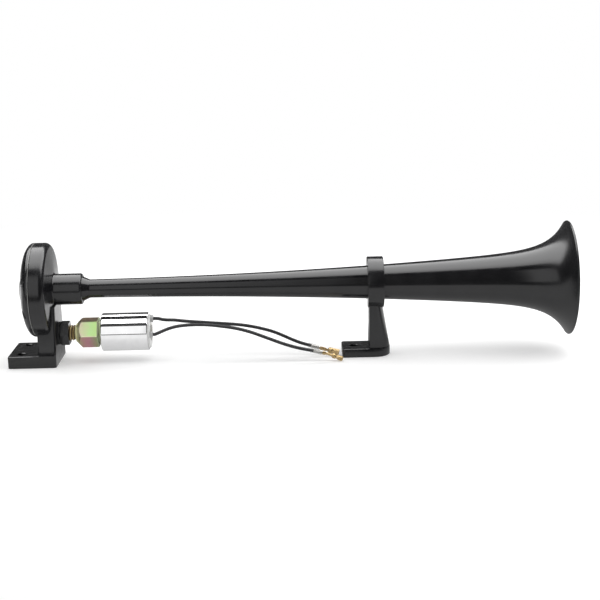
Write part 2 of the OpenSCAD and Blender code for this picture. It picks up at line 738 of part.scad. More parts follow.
module coil_winding() {
    color(copper_color)
        ring(bobbin_x + bobbin_flange + fit, bobbin_end_x - bobbin_flange - fit,
             bobbin_hub_r + fit, winding_r, valve_h);
}

// Steel washer that closes the magnetic path round the core's boss
module flux_washer() {
    color(steel_color) ring(flux_x, cap_x, inlet_boss_r + fit, can_inner_r - play, valve_h);
}

// Deep-drawn can with a closed front end and a rolled rear edge
module solenoid_can() {
    r = can_round_r;
    rolled_r = 0.6 * can_round_r;
    floor_x = can_x + flux_thick;
    color(chrome_color) turned(concat([[tube_r + fit, can_x]],
        arc(can_r - r, can_x + r, r, -90, 0, 5),
        arc(can_r - rolled_r, can_end_x - rolled_r, rolled_r, 0, 90, 5),
        [[lip_r, can_end_x], [lip_r, cap_shoulder_x], [can_inner_r, cap_shoulder_x], [can_inner_r, floor_x],
         [tube_r + fit, floor_x]]), valve_h);
}

// Moulded cap in the can's open end, with one outlet for each lead
module end_cap() {
    color(nylon_color) difference() {
        turned([[inlet_boss_r + play, cap_x], [can_inner_r - play, cap_x],
                [can_inner_r - play, cap_shoulder_x], [lip_r - play, cap_shoulder_x],
                [lip_r - play, cap_end_x], [inlet_boss_r + play, cap_end_x]], valve_h);
        for (a = outlet_angles) translate(outlet(cap_x - over, a)) rotate([0, 90, 0])
            cylinder(h = cap_end_x - cap_x + 2 * over, r = outlet_hole_r + fit, $fn = 32);
    }
}

// Square-headed plugs that hold the leads in their outlets
module wire_grommets() {
    color(nylon_color) for (a = outlet_angles) {
        translate(outlet(cap_end_x, a)) rotate([a - 90, 0, 0])
            translate([0, -grommet_size / 2, -grommet_size / 2])
                cube([grommet_proud, grommet_size, grommet_size]);
        translate(outlet(cap_x + over, a)) rotate([0, 90, 0])
            cylinder(h = cap_end_x - cap_x - over + eps, r = outlet_hole_r, $fn = 32);
    }
}

module wire_upper() {
    color(rubber_color) tube_along(upper_route, lead_r, 8);
}

module wire_lower() {
    color(rubber_color) tube_along(lower_route, lead_r, 8);
}

// Child laid along a direction from a point, its own axis along Z
module laid(p, d) {
    yaw = atan2(d[1], d[0]);
    tilt = acos(d[2] / norm(d));
    translate(p) rotate([0, tilt, yaw]) children();
}

// Clear sleeve over the end of a lead and the crimp
module lead_sleeve(p, d) {
    laid(p, d) translate([0, 0, -sleeve_set]) difference() {
        cylinder(h = sleeve_len, r = sleeve_bore_r + sleeve_wall, $fn = 48);
        translate([0, 0, -over]) cylinder(h = sleeve_len + 2 * over, r = sleeve_bore_r, $fn = 48);
    }
}

module sleeve_upper() {
    color(clear_color) lead_sleeve(upper_route[len(upper_route) - 1], upper_lie);
}

module sleeve_lower() {
    color(clear_color) lead_sleeve(lower_route[len(lower_route) - 1], lower_lie);
}

// Crimped shank of a terminal: crimp on the lead, open wings, and a narrow neck to the bend
module terminal_shank(p, d) {
    laid(p, d) cylinder(h = crimp_len, r = crimp_r, $fn = 48);
    laid(p, d) cylinder(h = norm(d), r = neck_wire_r, $fn = 48);
    laid(p, d) translate([0, 0, wing_from])
        cylinder(h = min(wing_len, norm(d) - wing_from - wing_gap), r = wing_r, $fn = 48);
    translate(p + d) sphere(r = neck_wire_r + fit, $fn = 48);
}

// Socket with an open end
module terminal_female() {
    p = upper_route[len(upper_route) - 1];
    wall = 0.4;
    floor_thick = 1.2;
    color(brass_color) union() {
        terminal_shank(p, upper_lie);
        laid(p + upper_lie, upper_bend) difference() {
            cylinder(h = bullet_len, r = bullet_r + wall, $fn = 48);
            translate([0, 0, floor_thick]) cylinder(h = bullet_len, r = bullet_r + fit, $fn = 48);
        }
    }
}

// Bullet with a waist and a rounded nose
module terminal_male() {
    p = lower_route[len(lower_route) - 1];
    shank = 5.3;
    cone = 0.6;
    waist = 0.45;
    nose_r = 1.2;
    tip = shank + bullet_len;
    color(brass_color) union() {
        terminal_shank(p, lower_lie);
        laid(p + lower_lie, lower_bend) rotate_extrude($fn = 48)
            polygon(concat([[0, 0], [neck_wire_r, 0], [neck_wire_r, shank - cone], [bullet_r, shank]],
                [for (q = [[0, 0.3], [waist, 0.38], [waist, 0.46], [0, 0.54]])
                    [bullet_r - q[0], shank + bullet_len * q[1]]],
                arc(bullet_r - nose_r, tip - nose_r, nose_r, 0, 90, 4), [[0, tip]]));
    }
}

horn_housing();
rear_cover();
cover_screws();
rear_gasket();
front_gasket();
diaphragm();
trumpet();
bell();
trumpet_seal();
front_bracket();
bracket_lock_screw();
inlet_washer();
lock_nut();
valve_body();
tube_o_ring();
guide_tube();
plunger();
plunger_seal();
return_spring();
fixed_core();
coil_bobbin();
coil_winding();
flux_washer();
solenoid_can();
end_cap();
wire_grommets();
wire_upper();
wire_lower();
sleeve_upper();
sleeve_lower();
terminal_female();
terminal_male();
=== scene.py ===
import math
import bmesh
import bpy
from mathutils import Euler, Matrix, Vector


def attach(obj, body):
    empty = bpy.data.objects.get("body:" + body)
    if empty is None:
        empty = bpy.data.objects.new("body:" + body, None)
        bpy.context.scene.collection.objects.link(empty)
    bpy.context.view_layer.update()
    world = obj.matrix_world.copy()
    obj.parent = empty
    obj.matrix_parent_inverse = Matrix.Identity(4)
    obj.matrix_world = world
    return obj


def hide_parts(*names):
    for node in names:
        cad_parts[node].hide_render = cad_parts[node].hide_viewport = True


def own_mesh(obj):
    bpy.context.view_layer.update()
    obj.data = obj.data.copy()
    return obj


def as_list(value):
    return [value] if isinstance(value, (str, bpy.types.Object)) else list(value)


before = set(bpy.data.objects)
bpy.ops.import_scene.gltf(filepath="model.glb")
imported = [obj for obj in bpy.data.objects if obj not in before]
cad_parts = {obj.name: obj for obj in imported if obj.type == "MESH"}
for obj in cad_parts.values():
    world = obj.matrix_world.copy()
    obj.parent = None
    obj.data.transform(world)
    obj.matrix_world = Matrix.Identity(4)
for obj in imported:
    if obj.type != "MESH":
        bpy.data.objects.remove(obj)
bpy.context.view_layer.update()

# Camera: where the photograph was taken from, a metre from the horn and a little above it.
# It looks down by 13 degrees and is rolled by just over one.
mm = 0.001


def placed(name, data):
    """New object, linked to the scene"""
    obj = bpy.data.objects.new(name, data)
    bpy.context.scene.collection.objects.link(obj)
    return obj


camera_data = bpy.data.cameras.new("photo_camera")
camera_data.lens = 79.64
camera_data.sensor_width = 36
camera = placed("photo_camera", camera_data)
look = Euler((math.pi / 2 - 0.2318, 0, -0.0008)).to_matrix() @ Matrix.Rotation(-0.0236, 3, "Z")
camera.matrix_world = Matrix.Translation((0.2137, -0.9986, 0.2795)) @ look.to_4x4()
bpy.context.scene.camera = camera
bpy.context.scene.view_settings.view_transform = "Standard"

# Leads of the coil: two black wires in soft PVC, 2.6 mm over the insulation, springy enough to hold an arch.
# They leave the valve's end through the cap and come down to the table before the front foot.
lead_radius = 1.3
valve_height = 22
outlet_radius = 10.9
outlet_angles = (105, 180)
grommet_end = 100.8


def outlet_spots(station):
    """Centres of the two lead outlets at a station along X"""
    turns = [math.radians(a) for a in outlet_angles]
    return [Vector((station, outlet_radius * math.cos(a), valve_height + outlet_radius * math.sin(a)))
            for a in turns]


upper_start, lower_start = outlet_spots(grommet_end)
upper_route = [upper_start, upper_start + Vector((2.8, 0, 0)),
               (109, -2.8, 31.4), (117, -2.8, 30.9), (125, -2.8, 29.9), (133, -2.7, 29.1), (141, -2.7, 28.4),
               (149, -2.7, 27.7), (157, -2.7, 27), (165, -2.7, 26.2), (172, -2.6, 25.2), (179, -2.6, 23.8),
               (186, -2.6, 22), (193, -2.6, 19.8), (200, -2.6, 16.8), (206, -2.6, 13.9), (212, -2.5, 11.2),
               (217, -2.5, 9.4), (222.2, -2.5, 7.9)]
lower_route = [lower_start, lower_start + Vector((1.5, 0, 0)), lower_start + Vector((3.2, -0.1, 0.6)),
               (107.5, -11.1, 24.1), (112, -11.6, 26), (117, -12, 27.6), (123, -12.5, 28.7), (130, -13, 29.3),
               (138, -13.4, 29.4), (146, -13.9, 29), (154, -14.4, 28), (162, -14.8, 26.8), (170, -15.3, 25),
               (177, -15.7, 22.9), (184, -16.2, 20.3), (191, -16.7, 17.6), (198, -17.1, 14.9),
               (205, -17.6, 12.5), (212, -18, 10.5), (218, -18.3, 9.2), (223.9, -18.5, 8.05)]


class Output:
    """Output of a node; sums and products that are written with it become math nodes in the same tree"""

    def __init__(self, socket):
        self.socket = socket

    def __getitem__(self, name):
        return Output(self.socket.node.outputs[name])

    def __add__(self, other):
        return self.maths("ADD", other)

    def __sub__(self, other):
        return self.maths("SUBTRACT", other)

    def __rsub__(self, other):
        return self.wired("ShaderNodeMath", {0: other, 1: self}, operation="SUBTRACT")

    def __mul__(self, other):
        return self.maths("MULTIPLY", other)

    def __truediv__(self, other):
        return self.maths("DIVIDE", other)

    def __rtruediv__(self, other):
        return self.wired("ShaderNodeMath", {0: other, 1: self}, operation="DIVIDE")

    def __pow__(self, other):
        return self.maths("POWER", other)

    def wired(self, kind, inputs, **settings):
        return wired(self.socket.id_data, kind, inputs, **settings)

    def maths(self, operation, *others):
        return self.wired("ShaderNodeMath", dict(enumerate((self, *others))), operation=operation)

    def ranged(self, from_min, from_max, to_min=0.0, to_max=1.0):
        return self.wired("ShaderNodeMapRange", {"Value": self, "From Min": from_min, "From Max": from_max,
                                                 "To Min": to_min, "To Max": to_max})

    def distance(self, centre):
        return self.wired("ShaderNodeVectorMath", {0: self, 1: centre}, operation="DISTANCE")["Value"]

    def coloured(self, stops):
        """Colour by a ramp whose stops each give a position and a colour"""
        ramp = self.wired("ShaderNodeValToRGB", {0: self})
        elements = ramp.socket.node.color_ramp.elements
        while len(elements) < len(stops):
            elements.new(0.5)
        for element, (position, colour) in zip(elements, stops):
            element.position = position
            element.color = (*colour, 1)
        return ramp

    def between(self, first, second):
        """Colour between two, with this share of the second"""
        return self.wired("ShaderNodeMix", {0: self, 6: first, 7: second}, data_type="RGBA")[2]


def feed(node, inputs):
    """Link or set inputs of a node, by name or number"""
    for socket, value in inputs.items():
        if isinstance(value, Output):
            node.id_data.links.new(value.socket, node.inputs[socket])
        else:
            node.inputs[socket].default_value = value


def wired(tree, kind, inputs, **settings):
    """First output of a new node with these inputs and settings"""
    node = tree.nodes.new(kind)
    for setting, value in settings.items():
        setattr(node, setting, value)
    feed(node, inputs)
    return Output(node.outputs[0])


def blank_material(name):
    """New material, its node tree and its shader node"""
    material = bpy.data.materials.new(name)
    material.use_nodes = True
    return material, material.node_tree, material.node_tree.nodes["Principled BSDF"]


def object_place(tree):
    return wired(tree, "ShaderNodeTexCoord", {})["Object"]


def object_spot(tree):
    """Place in the object's frame, split in X, Y and Z"""
    return wired(tree, "ShaderNodeSeparateXYZ", {0: object_place(tree)})


def surface_finish(name, colours, grain, roughness, metal=0.0, bumps=0.0, bump_grain=1500.0,
                   stretch=(1, 1, 1)):
    """Finish with two clouded colours, a roughness that changes with them, and a fine relief"""
    material, tree, shader = blank_material(name)
    place = wired(tree, "ShaderNodeMapping", {"Vector": object_place(tree), "Scale": stretch})
    clouds = wired(tree, "ShaderNodeTexNoise", {"Vector": place, "Scale": grain, "Detail": 5})
    pits = wired(tree, "ShaderNodeTexNoise", {"Vector": place, "Scale": bump_grain, "Detail": 3})
    feed(shader, {"Metallic": metal, "Base Color": clouds.coloured(list(zip((0.35, 0.65), colours))),
                  "Roughness": clouds.ranged(0.35, 0.65, *roughness),
                  "Normal": wired(tree, "ShaderNodeBump", {"Height": pits, "Distance": bumps * mm})})
    return material


lead_pvc = surface_finish("black_lead_pvc", ((0.012, 0.012, 0.013), (0.022, 0.022, 0.024)), 300, (0.32, 0.42),
                          bumps=0.03, bump_grain=900)
leads = {}
for name, route in (("lead_upper", upper_route), ("lead_lower", lower_route)):
    curve = bpy.data.curves.new(name, "CURVE")
    curve.dimensions = "3D"
    curve.bevel_depth = lead_radius * mm
    curve.bevel_resolution = 6
    curve.resolution_u = 8
    curve.use_fill_caps = True
    curve.materials.append(lead_pvc)
    spline = curve.splines.new("BEZIER")
    spline.bezier_points.add(len(route) - 1)
    for point, spot in zip(spline.bezier_points, route):
        point.co = Vector(spot) * mm
        point.handle_left_type = "AUTO"
        point.handle_right_type = "AUTO"
    leads[name] = placed(name, curve)

# Clear sleeves: short ends of clear soft PVC tube, pushed over the end of each lead and its crimp.
# They are a little wider at the end that was cut last.
upper_lie = Vector((13.7, -1, -3.75))
lower_lie = Vector((9.8, -0.5, -2.2))
sleeve_bore = 1.6
sleeve_outer = sleeve_bore + 0.35
sleeve_set = 2.2
sleeve_end = 8.8 - sleeve_set


def along(start, direction):
    """Place of a shape whose own axis is Z, laid along a direction from a point given in millimetres"""
    lie = Vector(direction).to_track_quat("Z", "Y").to_matrix().to_4x4()
    return Matrix.Translation(Vector(start) * mm) @ lie


def piece(name, mesh):
    """Object at the origin from a finished bmesh, with its faces outwards"""
    bmesh.ops.remove_doubles(mesh, verts=mesh.verts, dist=0.0005 * mm)
    bmesh.ops.recalc_face_normals(mesh, faces=mesh.faces)
    data = bpy.data.meshes.new(name)
    mesh.to_mesh(data)
    mesh.free()
    return placed(name, data)


def add_turned(mesh, profile, place, sides=64):
    """Turned solid round Z from a closed profile of (radius, station) in millimetres"""
    turns = [2 * math.pi * k / sides for k in range(sides)]
    rings = []
    for radius, station in profile:
        spots = [(radius * mm * math.cos(a), radius * mm * math.sin(a), station * mm) for a in turns]
        if radius < 0.001:
            spots = [(0, 0, station * mm)]
        rings.append([mesh.verts.new(place @ Vector(spot)) for spot in spots])
    for ring, after in zip(rings, rings[1:] + rings[:1]):
        for k in range(sides):
            corners = [ring[k % len(ring)], ring[(k + 1) % len(ring)],
                       after[(k + 1) % len(after)], after[k % len(after)]]
            corners = list(dict.fromkeys(corners))
            if len(corners) > 2:
                mesh.faces.new(corners)


def turned(name, profile, place, sides=64):
    mesh = bmesh.new()
    add_turned(mesh, profile, place, sides)
    return piece(name, mesh)


def rounded(centre_radius, centre_station, radius, from_angle, to_angle, steps=6):
    """Arc in a turned profile; the angle 0 points away from the axis and 90 along it"""
    angles = [math.radians(from_angle + (to_angle - from_angle) * i / steps) for i in range(steps + 1)]
    return [(centre_radius + radius * math.cos(a), centre_station + radius * math.sin(a)) for a in angles]


def smooth_shaded(obj, material, crease):
    mesh = obj.data
    mesh.materials.clear()
    mesh.materials.append(material)
    mesh.shade_smooth()
    mesh.set_sharp_from_angle(angle=math.radians(crease))
    return obj


def stands_for(obj, slot, *nodes):
    """Make an object ride with the horn in place of solids of the source"""
    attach(obj, "horn")
    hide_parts(*nodes)


def dressed(obj, finish, crease, slot, *nodes):
    smooth_shaded(obj, finish, crease)
    stands_for(obj, slot, *nodes)


clear_pvc, tree, shader = blank_material("clear_sleeve_pvc")
haze = wired(tree, "ShaderNodeTexNoise", {"Vector": object_place(tree), "Scale": 500})
edge = wired(tree, "ShaderNodeLayerWeight", {"Blend": 0.35})["Facing"]
feed(shader, {"IOR": 1.45, "Base Color": haze.coloured(((0, (0.62, 0.62, 0.6)), (1, (0.8, 0.8, 0.78)))),
              "Roughness": haze.ranged(0, 1, 0.12, 0.28), "Alpha": edge.ranged(0, 1, 0.03, 0.3)})
sleeves = {}
for name, route, lie, node in (("clear_sleeve_upper", upper_route, upper_lie, "sleeve_upper"),
                               ("clear_sleeve_lower", lower_route, lower_lie, "sleeve_lower")):
    sleeves[name] = turned(name, [(sleeve_bore, -sleeve_set), (sleeve_outer, -sleeve_set),
                                  (sleeve_outer - 0.04, 0.3 * sleeve_end), (sleeve_outer, sleeve_end - 0.8),
                                  (sleeve_outer + 0.08, sleeve_end), (sleeve_bore + 0.06, sleeve_end),
                                  (sleeve_bore, sleeve_end - 1)], along(route[-1], lie), sides=48)
    dressed(sleeves[name], clear_pvc, 32, "clear_sleeve", node)

# Terminals: a bullet and the socket that takes it, stamped and rolled from brass strip.
# The front barrel is crimped on the bare wire and tinned grey, and the open wings grip the insulation.
crimp_radius = 1.5
crimp_length = 6.4
wing_start = 6.9
bullet_radius = 1.95
bullet_length = 8.2
tip_round = 1.2
socket_wall = 0.4
upper_bend = Vector((8.1, -1.4, -1.8))
lower_bend = Vector((10.8, -1.9, -3.6))


def add_lofted(mesh, sections, place):
    """Skin over closed sections of equal point counts, given in millimetres, with both ends capped"""
    loops = [[mesh.verts.new(place @ (Vector(point) * mm)) for point in section] for section in sections]
    count = len(loops[0])
    for loop, after in zip(loops, loops[1:]):
        for k in range(count):
            mesh.faces.new((loop[k], loop[(k + 1) % count], after[(k + 1) % count], after[k]))
    mesh.faces.new(loops[0])
    mesh.faces.new(loops[-1])


def rolled_strip(radius, wall, gap, station, steps=28):
    """Section of a strip rolled to a tube, whose edges leave a gap in degrees at the top"""
    angles = [math.radians(90 + gap / 2 + (360 - gap) * i / steps) for i in range(steps + 1)]
    bore = radius - wall
    outer = [(radius * math.cos(a), radius * math.sin(a), station) for a in angles]
    inner = [(bore * math.cos(a), bore * math.sin(a), station) for a in reversed(angles)]
    return outer + inner


def crimped(radius, station, press, steps=40):
    """Section of a crimp whose two rolled-in edges meet in a groove at the top"""
    section = []
    for i in range(steps):
        a = 2 * math.pi * i / steps
        away = abs((a - math.pi / 2 + math.pi) % (2 * math.pi) - math.pi)
        groove = 0.34 * press * math.exp(-(away / 0.38) ** 2)
        r = radius * (1 - groove + 0.05 * press * math.cos(2 * a))
        section.append((r * math.cos(a), r * math.sin(a), station))
    return section


brass = surface_finish("rolled_brass", ((0.34, 0.24, 0.10), (0.62, 0.46, 0.25)), 900, (0.34, 0.5), metal=1.0,
                       bumps=0.05, bump_grain=1400)
tin = surface_finish("tinned_crimp", ((0.22, 0.21, 0.20), (0.62, 0.61, 0.58)), 1500, (0.3, 0.55), metal=1.0,
                     bumps=0.08, bump_grain=1800)


def shank(start, lie):
    """New mesh with the crimp on the wire and the wings on the insulation"""
    mesh = bmesh.new()
    end = min(wing_start + 5.5, lie.length - 0.5)
    crimps = ((0.92, 0, 0.3), (0.98, 0.5, 0.6), (0.9, 1.4, 1), (0.97, 2.3, 0.9), (0.88, 3.2, 1),
              (0.97, 4.1, 0.9), (0.9, 5, 1), (0.98, 5.9, 0.6), (0.94, crimp_length, 0.3))
    wings = ((1.1, 150, crimp_length - 0.6), (1.15, 150, wing_start), (1.45, 100, wing_start + 0.5),
             (1.45, 96, end - 0.5), (1.15, 140, end), (1.0, 170, lie.length + 0.4))
    add_lofted(mesh, [crimped(crimp_radius * size, station, press) for size, station, press in crimps],
               along(start, lie))
    add_lofted(mesh, [rolled_strip(radius, 0.32, gap, station) for radius, gap, station in wings],
               along(start, lie))
    return mesh


def terminal(name, mesh, start, lie, node):
    """Brass terminal whose crimp is tinned as far as it reaches along the shank"""
    obj = smooth_shaded(piece(name, mesh), brass, 32)
    obj.data.materials.append(tin)
    origin = Vector(start) * mm
    for face in obj.data.polygons:
        reach = (face.center - origin).dot(lie.normalized())
        if reach < (crimp_length + 0.05) * mm and face.center.x > origin.x - mm:
            face.material_index = 1
    stands_for(obj, "terminal_brass", node)
    return obj


start = upper_route[-1]
mesh = shank(start, upper_lie)
barrel = ((-1.2, 60, -0.9), (-0.5, 24, -0.3), (-0.05, 12, 0.3), (0, 10, 1), (0, 10, 2.6), (-0.22, 10, 3.1),
          (-0.22, 10, 3.7), (0, 10, 4.2), (0, 10, 7.2), (0.1, 12, 7.8), (0.16, 14, bullet_length))
add_lofted(mesh, [rolled_strip(bullet_radius + socket_wall + grow, socket_wall, gap, station)
                  for grow, gap, station in barrel], along(Vector(start) + upper_lie, upper_bend))
socket = terminal("bullet_socket", mesh, start, upper_lie, "terminal_female")

start = lower_route[-1]
mesh = shank(start, lower_lie)
tip = 5.3 + bullet_length
add_turned(mesh, [(0, -0.4), (0.85, -0.3), (0.95, 0.5), (0.95, 4.2), (1.1, 4.6), (1.75, 5.0), (1.95, 5.5),
                  (1.95, 7.1), (1.8, 7.5), (1.45, 7.9), (1.38, 8.4), (1.5, 9.0), (1.85, 9.4), (1.95, 9.8)]
           + rounded(bullet_radius - tip_round, tip - tip_round, tip_round, 0, 90) + [(0, tip)],
           along(Vector(start) + lower_lie, lower_bend), sides=48)
bullet = terminal("bullet_plug", mesh, start, lower_lie, "terminal_male")


def route_length(route):
    return sum((Vector(b) - Vector(a)).length for a, b in zip(route, route[1:])) * mm


for name, route, node, carried in (
        ("lead_upper", upper_route, "wire_upper", [sleeves["clear_sleeve_upper"], socket]),
        ("lead_lower", lower_route, "wire_lower", [sleeves["clear_sleeve_lower"], bullet])):
    stands_for(leads[name], "lead_insulation", node)
    tuple(Vector(route[0]) * mm)
    route_length(route)
    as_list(carried)

# Trumpet: spun and drawn steel tube that swells to a bell with a rolled rim, sprayed gloss black.
# Its plug end is pressed on a seal in the housing's collar, and it shows as a short cone there.
axis_height = 56.8
horn_sizes = {"Axis height": axis_height * mm, "Tube start": 53.0 * mm, "Rim station": 420.1285 * mm,
              "Mouth station": 421.8 * mm, "Throat radius": 7.1 * mm, "Taper": 0.0045, "Swell": 0.1045,
              "Bell radius": 43.8 * mm, "Rim radius": 43.3635 * mm, "Flare reach": 146 * mm,
              "Flare power": 11.3, "Tube wall": 1.9 * mm, "Bell wall": 1.2 * mm, "Rolled edge": 0.9 * mm,
              "Crowding": 1.8, "Stations": 300, "Sides": 144}


def size_tree(name, sizes):
    """Empty geometry tree with a named input for each size, and the output that gives its start mesh"""
    tree = bpy.data.node_groups.new(name, "GeometryNodeTree")
    tree.interface.new_socket("Geometry", in_out="INPUT", socket_type="NodeSocketGeometry")
    tree.interface.new_socket("Geometry", in_out="OUTPUT", socket_type="NodeSocketGeometry")
    for size, value in sizes.items():
        kind = "NodeSocketInt" if isinstance(value, int) else "NodeSocketFloat"
        tree.interface.new_socket(size, in_out="INPUT", socket_type=kind)
    return tree, Output(tree.nodes.new("NodeGroupInput").outputs[0])


def laid(shape, station, height):
    """Shape that stands round Z, laid along X from a station at a height"""
    spot = shape.wired("ShaderNodeCombineXYZ", {"X": station, "Z": height})
    return shape.wired("GeometryNodeTransform", {"Geometry": shape, "Translation": spot,
                                                 "Rotation": (0, math.pi / 2, 0)})


def joined(*shapes):
    node = shapes[0].socket.id_data.nodes.new("GeometryNodeJoinGeometry")
    for shape in shapes:
        feed(node, {0: shape})
    return Output(node.outputs[0])


def end_tree(shape, material):
    """Make a shape's instances real, give it the material and hand it out"""
    real = shape.wired("GeometryNodeRealizeInstances", {0: shape})
    feed(shape.socket.id_data.nodes.new("NodeGroupOutput"),
         {0: shape.wired("GeometryNodeSetMaterial", {"Geometry": real, "Material": material})})


def grown(name, tree, sizes, start=None):
    """Plain mesh object that a geometry tree makes with its sizes set, in place of a start object"""
    base = placed(name, start.data if start else bpy.data.meshes.new(name + "_start"))
    modifier = base.modifiers.new("sizes", "NODES")
    modifier.node_group = tree
    for item in tree.interface.items_tree:
        if item.name in sizes:
            modifier[item.identifier] = sizes[item.name]
    made = bpy.data.meshes.new_from_object(base.evaluated_get(bpy.context.evaluated_depsgraph_get()))
    base.modifiers.clear()
    base.data = made
    if start:
        bpy.data.objects.remove(start)
    return base


def taken_up(obj):
    """Copy of an object's mesh to work on"""
    mesh = bmesh.new()
    mesh.from_mesh(obj.data)
    return mesh


def put_back(mesh, obj):
    """Put a worked mesh in its object, with the faces outwards"""
    bmesh.ops.recalc_face_normals(mesh, faces=mesh.faces)
    mesh.to_mesh(obj.data)
    mesh.free()


tree, given = size_tree("spun_horn", horn_sizes)
skin = wired(tree, "GeometryNodeMeshGrid", {"Size X": 1.0, "Size Y": 1.0, "Vertices X": given["Stations"],
                                            "Vertices Y": given["Sides"] + 1})
spot = wired(tree, "ShaderNodeSeparateXYZ", {0: wired(tree, "GeometryNodeInputPosition", {})})
way = spot["X"] + 0.5
fold = 1 - (way * 2 - 1).maths("ABSOLUTE")
both_reach = (given["Stations"] - 1) / (given["Stations"] - 2)
share = (fold * both_reach).maths("MINIMUM", 1)
span = given["Rim station"] - given["Tube start"]
past_start = span * (1 - (1 - share) ** given["Crowding"])


def plain_radius(distance):
    return given["Throat radius"] + (given["Taper"] * distance + given["Swell"] * (distance * distance))


gain = given["Rim radius"] - plain_radius(span)
reach = (span - past_start) / given["Flare reach"] + 1
outside = plain_radius(past_start) + gain * reach ** (given["Flare power"] * -1)
wall = given["Tube wall"] + (given["Bell wall"] - given["Tube wall"]) * (past_start / span)
radius = outside - wall * way.maths("GREATER_THAN", 0.5)
angle = (spot["Y"] + 0.5) * (2 * math.pi)
target = wired(tree, "ShaderNodeCombineXYZ", {
    "X": given["Tube start"] + past_start, "Y": radius * angle.maths("COSINE"),
    "Z": given["Axis height"] + radius * angle.maths("SINE")})
spun = wired(tree, "GeometryNodeSetPosition", {"Geometry": skin, "Position": target})
closed = wired(tree, "GeometryNodeMergeByDistance", {"Geometry": spun, "Distance": 0.001 * mm})
rim_line = wired(tree, "GeometryNodeCurvePrimitiveCircle", {
    "Resolution": given["Sides"], "Radius": given["Bell radius"] - given["Rolled edge"]})
rim_section = wired(tree, "GeometryNodeCurvePrimitiveCircle", {
    "Resolution": 20, "Radius": given["Rolled edge"]})
rim = wired(tree, "GeometryNodeCurveToMesh", {"Curve": rim_line, "Profile Curve": rim_section})
rim = laid(rim, given["Mouth station"] - given["Rolled edge"], given["Axis height"])

horn_paint = surface_finish("black_gloss_enamel", ((0.006, 0.006, 0.007), (0.010, 0.010, 0.011)), 60,
                            (0.13, 0.19), bumps=0.003, bump_grain=700)
bell_start = 370
bell_end = 425
bell_roughness = 0.27
shader = horn_paint.node_tree.nodes["Principled BSDF"]
spray = object_spot(horn_paint.node_tree)["X"].ranged(bell_start * mm, bell_end * mm, 0.1, bell_roughness)
dull = Output(shader.inputs["Roughness"].links[0].from_socket)
feed(shader, {"Roughness": dull.maths("MAXIMUM", spray)})
end_tree(joined(closed, rim), horn_paint)
horn = grown("spun_trumpet", tree, horn_sizes)

mesh = taken_up(horn)
bmesh.ops.bridge_loops(mesh, edges=[e for e in mesh.edges if e.is_boundary])
horn_axis = along((0, 0, axis_height), (1, 0, 0))
cone_start = 47.4
add_turned(mesh, [(4.4, 28), (9.4, 28), (9.7, 28.3), (9.7, cone_start), (9.6, cone_start + 0.3), (7.3, 52.6),
                  (7.12, 53.3), (7.1, 54), (5.4, 54), (5.2, 53)], horn_axis, sides=144)
put_back(mesh, horn)
dressed(horn, horn_paint, 30, "black_paint", "trumpet", "bell")

# Sound housing: one aluminium casting, sprayed black, with the dish, the collar, an upright web and a foot.
# The web and the foot are the rear bracket, and the valve screws into the web.
seam = 12.0
dish_radius = 36.1
crease = seam + 7.3
face_round = 4.4
face_angle = math.degrees(math.atan(0.1))
face_station = crease + face_round * math.cos(math.radians(face_angle))
face_radius = dish_radius - face_round + face_round * math.sin(math.radians(face_angle))
collar_radius = 12.0
collar_fillet = 1.4
collar_start = face_station + 0.1 * (face_radius - collar_radius - collar_fillet)
collar_end = seam + 35.7
collar_round = 1.8
seam_edge = 0.45
web_front = 27.2
web_rear = 13.0
web_base_half = 20.6
web_top_half = 15.0
web_round = 1.6
web_top = axis_height - collar_radius + 1
web_flare = 2.4
side_flare_height = 7.0
foot_thick = 9.4
foot_half = 22.0
foot_rear = -9.9
foot_round = 2.0
foot_edge = 0.8
bolt_spacing = 27.0
bolt_radius = 3.2
bolt_chamfer = 0.6
screw_count = 8
screw_circle = 32.3
valve_axis = along((0, 0, valve_height), (1, 0, 0))


def plate_outline(x0, x1, half, rear_round, front_round, height, front_reach=None, steps=10):
    """Outline of a plate with rounded corners; the corners at x1 may reach further along X than across"""
    reach = front_round if front_reach is None else front_reach
    corners = ((x1, half, reach, front_round, 0), (x0, half, rear_round, rear_round, 90),
               (x0, -half, rear_round, rear_round, 180), (x1, -half, reach, front_round, 270))
    outline = []
    for x, y, round_x, round_y, turn in corners:
        centre_x = x - math.copysign(round_x, x - (x0 + x1) / 2)
        centre_y = y - math.copysign(round_y, y)
        for i in range(steps + 1):
            a = math.radians(turn + 90 * i / steps)
            outline.append((centre_x + round_x * math.cos(a), centre_y + round_y * math.sin(a), height))
    return outline


def combined(target, tool, operation):
    """Exact boolean of two objects, kept in the first one's mesh"""
    modifier = target.modifiers.new("combine", "BOOLEAN")
    modifier.operation = operation
    modifier.solver = "EXACT"
    modifier.object = tool
    made = bpy.data.meshes.new_from_object(target.evaluated_get(bpy.context.evaluated_depsgraph_get()))
    target.modifiers.clear()
    target.data = made
    bpy.data.objects.remove(tool)


def grown_on(target, sections):
    """Add the body over closed sections to a casting"""
    mesh = bmesh.new()
    add_lofted(mesh, sections, Matrix())
    combined(target, piece("body_tool", mesh), "UNION")


def bored(target, profile, place, sides):
    combined(target, turned("bore_tool", profile, place, sides), "DIFFERENCE")


def rod(radius, first, last, bore=0):
    """Turned profile of a plain rod, or of a tube if it has a bore"""
    return [(bore, first), (radius, first), (radius, last), (bore, last)]


def bolt_hole(target, x, y, thick):
    """Cut an upright bolt hole with a chamfered mouth"""
    wide = bolt_radius + bolt_chamfer
    bored(target, [(0, -1), (bolt_radius, -1), (bolt_radius, thick - bolt_chamfer), (wide, thick),
                   (wide, thick + 1), (0, thick + 1)], along((x, y, 0), (0, 0, 1)), 48)


